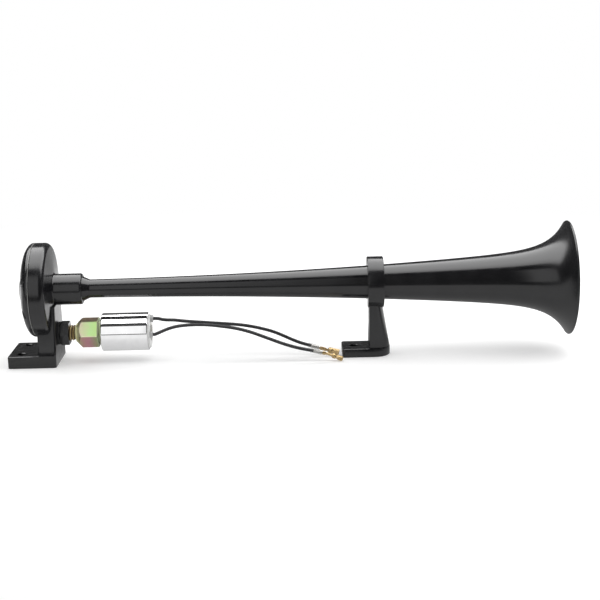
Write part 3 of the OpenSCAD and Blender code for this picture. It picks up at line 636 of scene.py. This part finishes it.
def screw_holes(target, radius, first, last, sides):
    """Cut a hole at each cover screw"""
    mesh = bmesh.new()
    for i in range(screw_count):
        a = math.radians((i + 0.5) * 360 / screw_count)
        spot = (first, screw_circle * math.sin(a), axis_height + screw_circle * math.cos(a))
        add_turned(mesh, rod(radius, 0, last - first), along(spot, (1, 0, 0)), sides)
    combined(target, piece("screw_hole_tool", mesh), "DIFFERENCE")


housing = turned("cast_housing",
                 [(0, seam), (dish_radius - seam_edge, seam), (dish_radius, seam + seam_edge)]
                 + rounded(dish_radius - face_round, crease, face_round, 0, 90 - face_angle, 14)
                 + rounded(collar_radius + collar_fillet, collar_start + collar_fillet, collar_fillet,
                           270 - face_angle, 180, 8)
                 + rounded(collar_radius - collar_round, collar_end - collar_round, collar_round, 0, 90, 12)
                 + [(0, collar_end)], horn_axis, sides=192)
web_sections = []
for level in (-foot_edge, 0, 0.1, 0.3, 0.6, 1.0, 1.5, 2.0, web_flare, 3.2, 4.2, 5.4, side_flare_height,
              web_top - foot_thick):
    height = foot_thick + level
    rise = min(max(level, 0), web_flare)
    flare = web_flare - math.sqrt(web_flare ** 2 - (web_flare - rise) ** 2)
    plain_half = web_base_half + (web_top_half - web_base_half) * height / web_top
    spread = (foot_half - plain_half) * max(1 - max(level, 0) / side_flare_height, 0) ** 2
    web_sections.append(plate_outline(web_rear - flare, web_front, plain_half + spread, web_round + flare,
                                      web_round, height))
grown_on(housing, web_sections)
foot_levels = ((0.3, 0), (0, 0.3), (0, foot_thick - foot_edge), (0.24, foot_thick - 0.24),
               (foot_edge, foot_thick))
grown_on(housing, [plate_outline(foot_rear + inset, web_front - inset, foot_half - inset, foot_round - inset,
                                 foot_round - inset, height) for inset, height in foot_levels])
throat = [(0, seam), (4.2, seam), (4.2, 27.5), (9.75, 27), (9.75, collar_end + 1), (0, collar_end + 1)]
for profile in (rod(29.6, seam - 1, 14), rod(25.5, seam, 21.4, 7.4), rod(8.4, seam - 1, 13.22), throat):
    bored(housing, profile, horn_axis, 96)
bored(housing, [(0, 18), (5.95, 18), (5.95, web_front - 0.5), (6.6, web_front), (6.6, 29), (0, 29)],
      valve_axis, 64)
bored(housing, rod(2.4, 0, 10.3), along((19, 0, valve_height), (0, 0, 1)), 48)
for side in (-1, 1):
    bolt_hole(housing, 0, side * bolt_spacing / 2, foot_thick)
screw_holes(housing, 1.5, seam - 1, seam + 8, 24)
cast_paint = surface_finish("black_sprayed_casting", ((0.006, 0.006, 0.007), (0.011, 0.011, 0.012)), 90,
                            (0.16, 0.24), bumps=0.006, bump_grain=800)
shader = cast_paint.node_tree.nodes["Principled BSDF"]
spot = object_spot(cast_paint.node_tree)
# The seam's edge band above the foot is painted a pale grey: partly a bare edge where the paint is thin,
# partly a painted highlight along the seam.
seam_bare_edge_and_highlight = spot["X"].maths("COMPARE", (seam - seam_edge / 2) * mm, seam_edge / 2 * mm)
over_foot = spot["Z"].maths("GREATER_THAN", 1.5 * foot_thick * mm)
painted = Output(shader.inputs["Base Color"].links[0].from_socket)
feed(shader, {"Base Color": (seam_bare_edge_and_highlight * over_foot).between(painted, (0.26, 0.26, 0.25, 1))})
dressed(housing, cast_paint, 25, "black_paint", "horn_housing")

# Rear cover: domed aluminium cap, sprayed black, that clamps the diaphragm on the housing.
# Eight recesses for its screws break the rounded shoulder.
cover_radius = 36.2
shoulder = seam - 0.8
shoulder_depth = 8.0
shoulder_steps = 20
dome_radius = 16.0
dome_rise = 4.6
dome_steps = 10
head_seat = seam - 1.6
cover_profile = [(0, seam), (cover_radius - seam_edge, seam), (cover_radius, seam - seam_edge)]
for i in range(shoulder_steps + 1):
    a = math.pi / 2 * i / shoulder_steps
    cover_profile.append((dome_radius + (cover_radius - dome_radius) * math.cos(a),
                          shoulder - shoulder_depth * math.sin(a)))
for i in range(1, dome_steps + 1):
    t = 1 - i / dome_steps
    cover_profile.append((dome_radius * t, shoulder - shoulder_depth - dome_rise * (1 - t * t)))
cover = turned("domed_cover", cover_profile, horn_axis, sides=192)
bored(cover, [(0, seam + 1), (25.5, seam + 1), (25.5, 7.7), (13, 5.4), (8, 1.95), (0, 0.8)], horn_axis, 96)
screw_holes(cover, 1.7, head_seat - 1, seam + 1, 40)
screw_holes(cover, 3.0, -3, head_seat, 40)
dressed(cover, cast_paint, 25, "black_paint", "rear_cover")

# Cover screws: eight pan-head steel screws with a cross recess, blackened.
# They stand on one circle, sunk in the cover's recesses, and thread into the housing.
head_radius = 2.7
head_height = 2.0
screw_axis = along((head_seat, 0, screw_circle), (-1, 0, 0))
screw = turned("screw_blank", [(0, -8.5), (1.0, -8.5), (1.45, -8), (1.45, 0), (head_radius - 0.2, 0),
                               (head_radius, 0.2), (head_radius, 1.2)]
               + rounded(head_radius - 0.8, 1.2, 0.8, 0, 90) + [(0, head_height)], screw_axis, sides=32)
for turn in (0, math.pi / 2):
    blade = bmesh.new()
    bmesh.ops.create_cube(blade, size=1)
    blade_size = Matrix.Diagonal((3.2 * mm, 0.7 * mm, 2.2 * mm, 1))
    bmesh.ops.transform(blade, verts=blade.verts, matrix=screw_axis @ Matrix.Rotation(turn, 4, "Z")
                        @ Matrix.Translation((0, 0, 1.9 * mm)) @ blade_size)
    combined(screw, piece("recess_blade", blade), "DIFFERENCE")
black_steel = surface_finish("blackened_steel", ((0.03, 0.03, 0.032), (0.07, 0.07, 0.075)), 700, (0.3, 0.45),
                             metal=0.8, bumps=0.02, bump_grain=1500)
screw_sizes = {"Axis height": axis_height * mm, "Screws": screw_count}
tree, given = size_tree("screws_on_a_circle", screw_sizes)
centre = wired(tree, "ShaderNodeCombineXYZ", {"Z": given["Axis height"]})
spots = wired(tree, "GeometryNodePoints", {"Count": given["Screws"], "Position": centre})
turn = (wired(tree, "GeometryNodeInputIndex", {}) + 0.5) * (2 * math.pi / given["Screws"])
turning = wired(tree, "ShaderNodeCombineXYZ", {"X": turn})
copies = wired(tree, "GeometryNodeInstanceOnPoints", {
    "Points": spots, "Instance": given, "Rotation": turning})
end_tree(copies, black_steel)
screws = grown("cover_screw_set", tree, screw_sizes, screw)
dressed(screws, black_steel, 30, "black_screw", "cover_screws")

# Front bracket: one aluminium casting, sprayed black, with a ring round the tube, a leg and a foot.
# A headless screw in the ring's far side locks it on the tube.
ring_rear = 266.4
ring_front = ring_rear + 12.5
ring_radius = 19.7
ring_edge = 0.8
leg_rear = 267.2
leg_base = 16.1
leg_slim = 10.6
leg_half = 10.8
leg_straight = 5.3
front_foot_rear = 246.2
front_foot_end = 283.6
front_foot_half = 12.6
front_foot_thick = 6.8
front_hole = 255.3


def tube_radius(station):
    """Outer radius of the trumpet by the rule that its geometry tree follows, in millimetres"""
    size = {name: value / mm for name, value in horn_sizes.items()}

    def plain(distance):
        swelling = horn_sizes["Swell"] * mm * distance ** 2
        return size["Throat radius"] + horn_sizes["Taper"] * distance + swelling

    gain = size["Rim radius"] - plain(size["Rim station"] - size["Tube start"])
    reach = (size["Rim station"] - station) / size["Flare reach"] + 1
    return plain(station - size["Tube start"]) + gain * reach ** -horn_sizes["Flare power"]


stations = [ring_rear + (ring_front - ring_rear) * i / 8 for i in range(9)]
bore = [(tube_radius(station) + 0.05, station) for station in stations]
rear_bore = bore[0][0]
front_bore = bore[-1][0]
bracket = turned("cast_front_bracket",
                 [(rear_bore + 0.3, ring_rear), (rear_bore, ring_rear + 0.3)] + bore[1:-1]
                 + [(front_bore, ring_front - 0.3), (front_bore + 0.3, ring_front)]
                 + rounded(ring_radius - ring_edge, ring_front - ring_edge, ring_edge, 90, 0, 8)
                 + rounded(ring_radius - ring_edge, ring_rear + ring_edge, ring_edge, 0, -90, 8),
                 horn_axis, sides=144)
leg_top = axis_height - ring_radius + 4
leg_sections = []
for i in range(13):
    height = front_foot_thick - 2 + (leg_top - front_foot_thick + 2) * i / 12
    slimmed = max(0, height - front_foot_thick) / (leg_top - front_foot_thick)
    depth = leg_base + (leg_slim - leg_base) * slimmed
    straight = leg_straight * depth / leg_base
    leg_sections.append(plate_outline(leg_rear, leg_rear + depth, leg_half, 0.8, leg_half, height,
                                      depth - straight, 16))
grown_on(bracket, leg_sections)
foot_levels = ((0.3, 0), (0, 0.3), (0, front_foot_thick - 0.7), (0.2, front_foot_thick - 0.2),
               (0.7, front_foot_thick))
grown_on(bracket, [plate_outline(front_foot_rear + inset, front_foot_end - inset, front_foot_half - inset,
                                 foot_round - inset, front_foot_half - inset, height, steps=16)
                   for inset, height in foot_levels])
bolt_hole(bracket, front_hole, 0, front_foot_thick)
bored(bracket, [(0, ring_rear - 1), (rear_bore, ring_rear - 1)] + bore
      + [(front_bore, ring_front + 1), (0, ring_front + 1)], horn_axis, 144)
bored(bracket, rod(2.5, 0, 21), along((ring_rear + 6.25, 0, axis_height), (0, 1, 0)), 48)
dressed(bracket, cast_paint, 25, "black_paint", "front_bracket")

# Lock nut: black plated steel hexagon on the valve's neck, both faces chamfered round.
# It holds the valve against a sealing washer on the web.
nut_start = web_front + 1.0
nut_end = nut_start + 7.2
nut_flats = 17.0
nut_corner = nut_flats / math.sqrt(3) + 0.2
nut_front_cut = 0.7
nut_rear_cut = 1.5


def hexagon(name, first, last, flats, turn, chamfered):
    """Hexagonal bar on the valve's axis, its corners rounded off by a turned profile"""
    radius = flats / math.sqrt(3)
    corners = [math.radians(60 * k) for k in range(6)]
    ring = [(radius * math.cos(a), radius * math.sin(a)) for a in corners]
    mesh = bmesh.new()
    add_lofted(mesh, [[(x, y, station) for x, y in ring] for station in (first, last)],
               valve_axis @ Matrix.Rotation(math.radians(turn), 4, "Z"))
    bar = piece(name, mesh)
    tool = turned("chamfer_tool", [(0, first)] + chamfered + [(0, last)], valve_axis, sides=96)
    combined(bar, tool, "INTERSECT")
    return bar


nut = hexagon("valve_lock_nut", nut_start, nut_end, nut_flats, 0, [
    (nut_corner - nut_rear_cut, nut_start), (nut_corner, nut_start + nut_rear_cut),
    (nut_corner, nut_end - nut_front_cut), (nut_corner - nut_front_cut, nut_end)])
bored(nut, [(0, nut_start - 1), (6.7, nut_start - 1), (5.9, nut_start + 0.6), (5.9, nut_end - 0.6),
            (6.7, nut_end + 0.2), (6.7, nut_end + 1), (0, nut_end + 1)], valve_axis, 64)
nut_black = surface_finish("black_plated_nut", ((0.006, 0.006, 0.007), (0.014, 0.014, 0.015)), 350,
                           (0.1, 0.2), bumps=0.015, bump_grain=1200)
dressed(nut, nut_black, 20, "black_nut", "lock_nut")

# Valve body: turned from hexagonal steel bar, zinc plated and yellow passivated, with a rainbow bloom.
# Its threaded neck screws into the web, and a flange and a cone lead over to the hexagon.
neck_start = 19.0
neck_radius = 5.9
flange_start = 40.7
neck_end = flange_start - 1.2
flange_radius = 7.3
body_start = 41.9
body_end = 58.4
can_start = 60.6
spigot_radius = 8.6
body_flats = 20.6
body_turn = 3
body_corner = body_flats / math.sqrt(3) + 0.2
cone_radius = 8.2
thread_start = neck_start + 1.0
thread_pitch = 2.0
thread_height = 0.55
root_radius = neck_radius - thread_height
body = hexagon("valve_body_blank", body_start, body_end, body_flats, body_turn, [
    (cone_radius, body_start), (body_corner, body_start + body_corner - cone_radius),
    (body_corner, body_end - 0.8), (body_corner - 0.8, body_end)])
mesh = taken_up(body)
add_turned(mesh, [(2, neck_start), (root_radius - 0.5, neck_start), (root_radius, neck_start + 0.5),
                  (root_radius, neck_end), (root_radius - 0.25, flange_start - 1.0),
                  (root_radius - 0.25, flange_start),
                  (flange_radius - 0.25, flange_start), (flange_radius, flange_start + 0.25),
                  (flange_radius, body_start - 0.15), (flange_radius - 0.2, body_start + 0.5),
                  (4.9, body_start + 0.5), (4.9, body_start + 8), (2, body_start + 8)], valve_axis, sides=96)
add_turned(mesh, rod(spigot_radius, body_end - 0.5, can_start, 5.0), valve_axis, sides=96)
bpy.data.objects.remove(body)
body = piece("valve_body_blank", mesh)


def helix_tree(name, sizes, steps, sides, material):
    """Geometry tree that winds a wire along X at the valve's height, beside its start mesh"""
    tree, given = size_tree(name, sizes)
    line = wired(tree, "GeometryNodeCurveSpiral", {
        "Resolution": steps, "Rotations": given["Turns"], "Start Radius": given["Coil radius"],
        "End Radius": given["Coil radius"], "Height": given["Length"]})
    section = wired(tree, "GeometryNodeCurvePrimitiveCircle", {"Resolution": sides, "Radius": given["Wire"]})
    wire = wired(tree, "GeometryNodeCurveToMesh", {
        "Curve": line, "Profile Curve": section, "Fill Caps": True})
    end_tree(joined(given, laid(wire, given["Start"], given["Valve height"])), material)
    return tree


yellow_zinc, tree, shader = blank_material("yellow_passivated_zinc")
thread_length = neck_end - thread_start
thread_sizes = {"Coil radius": (neck_radius - thread_height / 2) * mm, "Length": thread_length * mm,
                "Turns": thread_length / thread_pitch, "Wire": 0.52 * mm, "Start": thread_start * mm,
                "Valve height": valve_height * mm}
thread_tree = helix_tree("neck_thread", thread_sizes, 40, 6, yellow_zinc)
valve = grown("zinc_valve_body", thread_tree, thread_sizes, body)
put_back(taken_up(valve), valve)

low_corner = 21.55
top_corner = 31.85
place = object_place(tree)
spot = wired(tree, "ShaderNodeSeparateXYZ", {0: place})
bloom = wired(tree, "ShaderNodeTexNoise", {"Vector": place, "Scale": 190, "Detail": 6, "Roughness": 0.6})
run = spot["X"].ranged(body_start * mm, can_start * mm)


def bloomed(strength, *stops):
    """Colours of the bloom along the hexagon, shifted by the clouds"""
    return (bloom - 0.5).maths("MULTIPLY_ADD", strength, run).coloured(stops)


# The passivation's bloom is clouded along the hexagon, and each face gets a lit or shaded copy of it: the
# upper near face painted light, the lower near face and the top face painted shade.
upper_bloom_painted_light = bloomed(0.45, (0, (0.80, 0.70, 0.48)), (0.14, (0.92, 0.80, 0.62)), (0.3, (0.82, 0.90, 0.52)),
                      (0.55, (0.70, 1.0, 0.45)), (1, (0.72, 1.0, 0.38)))
lower_bloom_painted_shade = bloomed(0.45, (0, (0.46, 0.42, 0.24)), (0.26, (0.52, 0.30, 0.27)), (0.5, (0.54, 0.26, 0.30)),
                      (0.74, (0.34, 0.34, 0.19)), (1, (0.38, 0.46, 0.22)))
top_bloom_painted_shade = bloomed(0.5, (0, (0.17, 0.13, 0.07)), (0.5, (0.15, 0.10, 0.065)), (1, (0.13, 0.12, 0.06)))
above_corner = spot["Z"].ranged((low_corner - 0.35) * mm, (low_corner + 0.35) * mm)
# A pale line along the lower corner is a painted highlight.
corner_painted_highlight = (spot["Z"] - low_corner * mm).maths("ABSOLUTE").ranged(0.5 * mm, 0.25 * mm)
on_top = spot["Z"].ranged((top_corner - 0.25) * mm, (top_corner + 0.25) * mm)
faces = above_corner.between(lower_bloom_painted_shade, upper_bloom_painted_light)
faces = on_top.between(corner_painted_highlight.between(faces, (0.95, 0.98, 0.66, 1)), top_bloom_painted_shade)
thread_gold = bloom.coloured(((0.38, (0.40, 0.26, 0.11)), (0.62, (0.62, 0.48, 0.22))))
flange_gold = bloom.coloured(((0.38, (0.85, 0.80, 0.42)), (0.62, (1.0, 1.0, 0.60))))
side_spot = wired(tree, "ShaderNodeCombineXYZ", {"Y": spot["Y"], "Z": spot["Z"]})
from_axis = side_spot.distance((0, 0, valve_height * mm))
# The thread's valleys are painted near black, as painted shade between its crests.
valley_painted_shade_mask = from_axis.ranged(root_radius * mm, (neck_radius - 0.1) * mm)
on_flange = spot["X"].ranged((flange_start - 1.0) * mm, (flange_start - 0.4) * mm)
past_cone = spot["X"].ranged((body_start + 1.4) * mm, (body_start + 2.6) * mm)
# The hexagon's end chamfer is painted an olive tone, a painted reflection.
end_chamfer_painted_reflection = spot["X"].ranged((body_end - 0.95) * mm, (body_end - 0.7) * mm)
gold = on_flange.between(valley_painted_shade_mask.between((0.07, 0.045, 0.02, 1), thread_gold), flange_gold)
turning_marks = wired(tree, "ShaderNodeTexNoise", {"Vector": place, "Scale": 1600.0, "Detail": 2.0})
feed(shader, {"Metallic": past_cone.ranged(0, 1, 0.3, 0.65),
              "Base Color": end_chamfer_painted_reflection.between(past_cone.between(gold, faces), (0.38, 0.42, 0.27, 1)),
              "Roughness": bloom.ranged(0.35, 0.65, 0.38, 0.5),
              "Normal": wired(tree, "ShaderNodeBump", {"Height": turning_marks, "Distance": 0.01 * mm})})
dressed(valve, yellow_zinc, 28, "yellow_zinc", "valve_body")

# Solenoid can: deep-drawn steel can with bright chrome plate, closed towards the hexagon.
# Its open edge is rolled in over the moulded cap.
can_radius = 14.75
can_end = 96.9
can_inside = can_radius - 0.9
can_round = 1.3
rolled_round = 0.78
lip_radius = can_inside - 0.7
lip_start = can_end - 0.5
can = turned("chromed_can", [(5.1, can_start)]
             + rounded(can_radius - can_round, can_start + can_round, can_round, -90, 0, 14)
             + rounded(can_radius - rolled_round, can_end - rolled_round, rolled_round, 0, 90, 12)
             + [(lip_radius + 0.1, can_end), (lip_radius, can_end - 0.15), (lip_radius, lip_start),
                (can_inside, lip_start), (can_inside, can_start + 1.6), (5.1, can_start + 1.6)],
             valve_axis, sides=160)
chrome = surface_finish("bright_chrome", ((0.86, 0.86, 0.865), (0.91, 0.91, 0.915)), 120, (0.03, 0.07),
                        metal=1.0, bumps=0.002, bump_grain=300)
dressed(can, chrome, 35, "chrome_plate", "solenoid_can")

# End cap and grommets: the cap is a white nylon disc round the core's boss, with one outlet for each lead.
# A square-headed plug with a sunk round mouth holds each lead in its outlet.
cap_start = 89.4
cap_end = can_end + 1.5
cap_radius = can_inside - 0.1
cap_neck = lip_radius - 0.1
cap_round = 0.4
boss_radius = 7.5
cap = turned("nylon_end_cap", [(boss_radius + 0.1, cap_start), (cap_radius, cap_start),
                               (cap_radius, lip_start), (cap_neck, lip_start)]
             + rounded(cap_neck - cap_round, cap_end - cap_round, cap_round, 0, 90, 5)
             + [(11.9, cap_end), (11.7, cap_end - 0.25), (11.5, cap_end), (boss_radius + 0.4, cap_end),
                (boss_radius + 0.1, cap_end - 0.3)], valve_axis, sides=128)
outlets = outlet_spots(cap_end)


def add_at_outlets(mesh, profile):
    for spot in outlets:
        add_turned(mesh, profile, along(spot, (1, 0, 0)), sides=32)


mesh = bmesh.new()
add_at_outlets(mesh, rod(1.55, -8, 1))
combined(cap, piece("outlet_tool", mesh), "DIFFERENCE")
nylon = surface_finish("white_nylon", ((0.86, 0.86, 0.85), (0.92, 0.92, 0.91)), 150, (0.38, 0.5), bumps=0.01,
                       bump_grain=700)
dressed(cap, nylon, 30, "white_nylon", "end_cap")

grommet_half = 2.1
grommet_corner = 0.45
grommet_proud = 2.4


def square_section(level, inset, steps=5):
    """Section of a grommet's head at a level along X, with rounded corners"""
    half = grommet_half - inset
    corner = grommet_corner - inset * 0.5
    section = []
    for y, z, turn in ((1, 1, 0), (-1, 1, 90), (-1, -1, 180), (1, -1, 270)):
        for i in range(steps + 1):
            a = math.radians(turn + 90 * i / steps)
            section.append((level, y * (half - corner) + corner * math.cos(a),
                            z * (half - corner) + corner * math.sin(a)))
    return section


mesh = bmesh.new()
for spot, a in zip(outlets, outlet_angles):
    levels = ((0.0, 0.0), (grommet_proud - 0.35, 0.0), (grommet_proud - 0.1, 0.1), (grommet_proud, 0.35))
    add_lofted(mesh, [square_section(level, inset) for level, inset in levels],
               Matrix.Translation(spot * mm) @ Matrix.Rotation(math.radians(a - 90), 4, "X"))
grommets = piece("square_grommets", mesh)
mouth = grommet_proud - 1.1
mesh = bmesh.new()
add_at_outlets(mesh, [(0, mouth), (1.35, mouth), (1.6, grommet_proud - 0.2), (1.8, grommet_proud + 0.2),
                      (1.8, grommet_proud + 1), (0, grommet_proud + 1)])
combined(grommets, piece("grommet_mouth_tool", mesh), "DIFFERENCE")
mesh = taken_up(grommets)
add_at_outlets(mesh, rod(1.5, -7.5, 0.1))
add_at_outlets(mesh, rod(1.25, mouth - 0.2, grommet_proud))
put_back(mesh, grommets)
# The grommets are a darker grey than the cap, as painted shade round their square heads.
grommet_nylon = surface_finish("grommet_nylon", ((0.44, 0.44, 0.44), (0.52, 0.52, 0.52)), 200, (0.35, 0.48),
                               bumps=0.01, bump_grain=700)
dressed(grommets, grommet_nylon, 30, "grommet_nylon", "wire_grommets")

# Fixed core: turned soft iron, zinc plated, with a stem in the guide tube and a boss in the can's end.
# The air hose's fitting screws into the threaded hole in its boss.
stem_radius = 4.45
core_start = 72.0
core_boss = 87.2
core_end = 98.6
inlet_radius = 4.3
inlet_root = inlet_radius + 0.25
inlet_floor = core_end - 9.0
inlet_pitch = 0.9
inlet_thread = core_end - inlet_floor - 2
blank = turned("core_blank", [
    (1.4, core_start), (3.9, core_start), (stem_radius, core_start + 0.5), (stem_radius, core_boss),
    (boss_radius, core_boss), (boss_radius, core_end - 0.3), (boss_radius - 0.3, core_end),
    (inlet_radius + 0.7, core_end), (inlet_root, core_end - 0.5), (inlet_root, inlet_floor),
    (1.4, inlet_floor)], valve_axis, sides=96)
inlet_sizes = {"Coil radius": (inlet_radius + 0.12) * mm, "Length": inlet_thread * mm,
               "Turns": inlet_thread / inlet_pitch, "Wire": 0.3 * mm, "Start": (inlet_floor + 1) * mm,
               "Valve height": valve_height * mm}
core = grown("threaded_core", thread_tree, inlet_sizes, blank)
put_back(taken_up(core), core)
plated_iron = surface_finish("plated_iron", ((0.50, 0.50, 0.48), (0.66, 0.65, 0.60)), 260, (0.25, 0.4),
                             metal=1.0, bumps=0.01, bump_grain=1500, stretch=(1, 3, 3))
dressed(core, plated_iron, 30, "soft_iron", "fixed_core")

# Return spring: bright spring steel, seven turns between the plunger's pocket and the core.
spring_sizes = {"Coil radius": 2.0 * mm, "Length": (71.7 - 62.4) * mm, "Turns": 7.0, "Wire": 0.25 * mm,
                "Start": 62.4 * mm, "Valve height": valve_height * mm}
spring_steel = surface_finish("bright_spring_steel", ((0.50, 0.51, 0.53), (0.66, 0.67, 0.69)), 900,
                              (0.2, 0.32), metal=1.0, bumps=0.01, bump_grain=2500)
spring_tree = helix_tree("return_spring_coil", spring_sizes, 28, 10, spring_steel)
spring = grown("wound_return_spring", spring_tree, spring_sizes)
smooth_shaded(spring, spring_steel, 60)
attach(spring, "horn")
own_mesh(spring)
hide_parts("return_spring")

# Inner pieces: the solids from the source are kept where their shape is right, and get their finish here.
# They are the seals, the diaphragm, the coil and the sliding plunger, which the housing and the can hide.
rubber = surface_finish("black_rubber", ((0.012, 0.012, 0.012), (0.030, 0.030, 0.031)), 500, (0.6, 0.8),
                        bumps=0.03, bump_grain=1200)
iron = surface_finish("turned_soft_iron", ((0.38, 0.38, 0.39), (0.56, 0.56, 0.57)), 300, (0.25, 0.42),
                      metal=1.0, bumps=0.01, bump_grain=1500, stretch=(6, 1, 1))
tube_brass = surface_finish("drawn_brass", ((0.62, 0.45, 0.18), (0.78, 0.60, 0.28)), 260, (0.2, 0.34),
                            metal=1.0, bumps=0.008, bump_grain=1500, stretch=(0.3, 3, 3))
copper = surface_finish("enamelled_copper", ((0.40, 0.15, 0.06), (0.62, 0.27, 0.13)), 400, (0.25, 0.4),
                        metal=1.0)
tree = copper.node_tree
turns = wired(tree, "ShaderNodeTexWave", {"Scale": 600.0, "Distortion": 0.6, "Detail": 1.0,
                                          "Vector": object_place(tree)}, bands_direction="X")
feed(tree.nodes["Principled BSDF"], {
    "Normal": wired(tree, "ShaderNodeBump", {"Height": turns, "Distance": 0.12 * mm})})
for finish, slot, kept in (
        (rubber, "black_rubber", ("rear_gasket", "front_gasket", "trumpet_seal", "inlet_washer",
                                  "tube_o_ring", "plunger_seal")),
        (spring_steel, "spring_steel", ("diaphragm",)), (black_steel, "black_screw", ("bracket_lock_screw",)),
        (tube_brass, "brass_tube", ("guide_tube",)), (iron, "soft_iron", ("plunger", "flux_washer")),
        (nylon, "white_nylon", ("coil_bobbin",)), (copper, "copper_wire", ("coil_winding",))):
    for node in kept:
        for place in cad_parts[node].material_slots:
            place.material = finish


# Studio: a white floor that keeps the shadows, a white background, and one large softbox overhead.
# Flat cards that only reflections see stand where the studio's softbox, card and wall stood.
def studio_sheet(name, corners, material):
    mesh = bpy.data.meshes.new(name)
    mesh.from_pydata([Vector(c) for c in corners], [], [(0, 1, 2, 3)])
    mesh.materials.append(material)
    sheet = placed(name, mesh)
    return sheet


def emptied(owner):
    """Node tree of a material or a world, without its first nodes"""
    owner.use_nodes = True
    owner.node_tree.nodes.clear()
    return owner.node_tree


def by_ray(tree, seen, mirrored, rest):
    """Shader that camera rays, mirrored rays and the rest each find in their own way"""
    ray = wired(tree, "ShaderNodeLightPath", {})
    unseen = wired(tree, "ShaderNodeMixShader", {0: ray["Is Glossy Ray"], 1: rest, 2: mirrored})
    return wired(tree, "ShaderNodeMixShader", {0: ray["Is Camera Ray"], 1: unseen, 2: seen})


def glowing(name, strength, edge_strength=None, edge_from=0.0, edge_to=1.0, way="Y"):
    """Glow that may fade to another strength at one edge"""
    material = bpy.data.materials.new(name)
    tree = emptied(material)
    if edge_strength is not None:
        strength = object_spot(tree)[way].ranged(edge_from, edge_to, edge_strength, strength)
    glow = wired(tree, "ShaderNodeEmission", {"Strength": strength})
    feed(tree.nodes.new("ShaderNodeOutputMaterial"), {"Surface": glow})
    material.cycles.emission_sampling = "NONE"
    return material


floor_half = 4.0
floor_paint = bpy.data.materials.new("floor_paint")
tree = emptied(floor_paint)
place = object_place(tree)
# The floor's lift is cut to nothing in a disc round each foot: painted shade under the feet, which also
# darkens their bolt holes.
rear_foot_painted_shade = place.distance((0.008, 0, 0)).maths("GREATER_THAN", 0.018)
front_foot_painted_shade = place.distance((0.262, 0, 0)).maths("GREATER_THAN", 0.0105)
lit = wired(tree, "ShaderNodeBsdfDiffuse", {"Color": (0.8, 0.8, 0.8, 1)})
lift = wired(tree, "ShaderNodeEmission", {"Strength": rear_foot_painted_shade * front_foot_painted_shade * 0.28})
near_floor = wired(tree, "ShaderNodeAddShader", {0: lit, 1: lift})
far_floor = wired(tree, "ShaderNodeEmission", {})
far = place.distance((0.2, 0, 0)).ranged(0.35, 0.7)
seen_floor = wired(tree, "ShaderNodeMixShader", {0: far, 1: near_floor, 2: far_floor})
# Mirrored rays find the floor glowing in bands along Y: dark past the table's front edge, then a painted
# shadow that is darkest just behind the horn's line, and dimmer again far behind.
glow_from = -0.3
glow_to = 0.6
glow_stops_painted_shadow = ((-0.26, 0.09), (-0.20, 0.7), (-0.06, 0.68), (0.0, 0.44), (0.04, 0.24), (0.06, 0.3), (0.10, 0.9),
              (0.25, 1.0), (0.35, 0.7), (0.5, 0.38))
across = object_spot(tree)["Y"].ranged(glow_from, glow_to)
floor_glow_painted_shadow = across.coloured([((y - glow_from) / (glow_to - glow_from), (grey, grey, grey))
                              for y, grey in glow_stops_painted_shadow])
mirrored_floor = wired(tree, "ShaderNodeEmission", {"Color": floor_glow_painted_shadow, "Strength": 1.4})
feed(tree.nodes.new("ShaderNodeOutputMaterial"), {"Surface": by_ray(tree, seen_floor, mirrored_floor, lit)})
floor_paint.cycles.emission_sampling = "NONE"
studio_sheet("studio_floor", [(-floor_half, -floor_half, 0), (floor_half, -floor_half, 0),
                              (floor_half, floor_half, 0), (-floor_half, floor_half, 0)], floor_paint)

softbox_height = 0.75
softbox = studio_sheet("softbox_face", [(-0.7, -0.34, softbox_height), (-0.7, 0.75, softbox_height),
                                        (1.1, 0.75, softbox_height), (1.1, -0.34, softbox_height)],
                       glowing("softbox_glow", 5.0, 3.2, -0.34, -0.1))
fill_card = studio_sheet("fill_card", [(-1.5, -1.15, 0), (-1.5, -1.15, 1.23), (0.25, -1.15, 1.23),
                                       (0.25, -1.15, 0)],
                         glowing("fill_card_glow", 1.1, 0.0, 0.25, 0.0, "X"))
back_wall = studio_sheet("back_wall", [(-2.5, 1.3, 0), (2.5, 1.3, 0), (2.5, 1.3, 1.0), (-2.5, 1.3, 1.0)],
                         glowing("back_wall_glow", 0.10))
for card in (softbox, fill_card, back_wall):
    card.visible_camera = False
    card.visible_diffuse = False
    card.visible_shadow = False
    card.visible_volume_scatter = False

for name, size, size_y, energy, lamp_place in (
        ("overhead_lamp", 1.8, 1.34, 13, Matrix.Translation((0.2, 0.33, softbox_height))),
        ("side_lamp", 0.8, 0.8, 8, along((1300, -100, 400), (1, 0, 0.3)))):
    lamp_data = bpy.data.lights.new(name, "AREA")
    lamp_data.shape = "RECTANGLE"
    lamp_data.size = size
    lamp_data.size_y = size_y
    lamp_data.energy = energy
    lamp = placed(name, lamp_data)
    lamp.matrix_world = lamp_place
    lamp.visible_glossy = False
    lamp.visible_camera = False

world = bpy.data.worlds.new("studio_world")
bpy.context.scene.world = world
tree = emptied(world)
room, dark_room, white = [wired(tree, "ShaderNodeBackground", {"Color": (grey, grey, grey, 1)})
                          for grey in (0.25, 0.06, 1)]
feed(tree.nodes.new("ShaderNodeOutputWorld"), {"Surface": by_ray(tree, white, dark_room, room)})
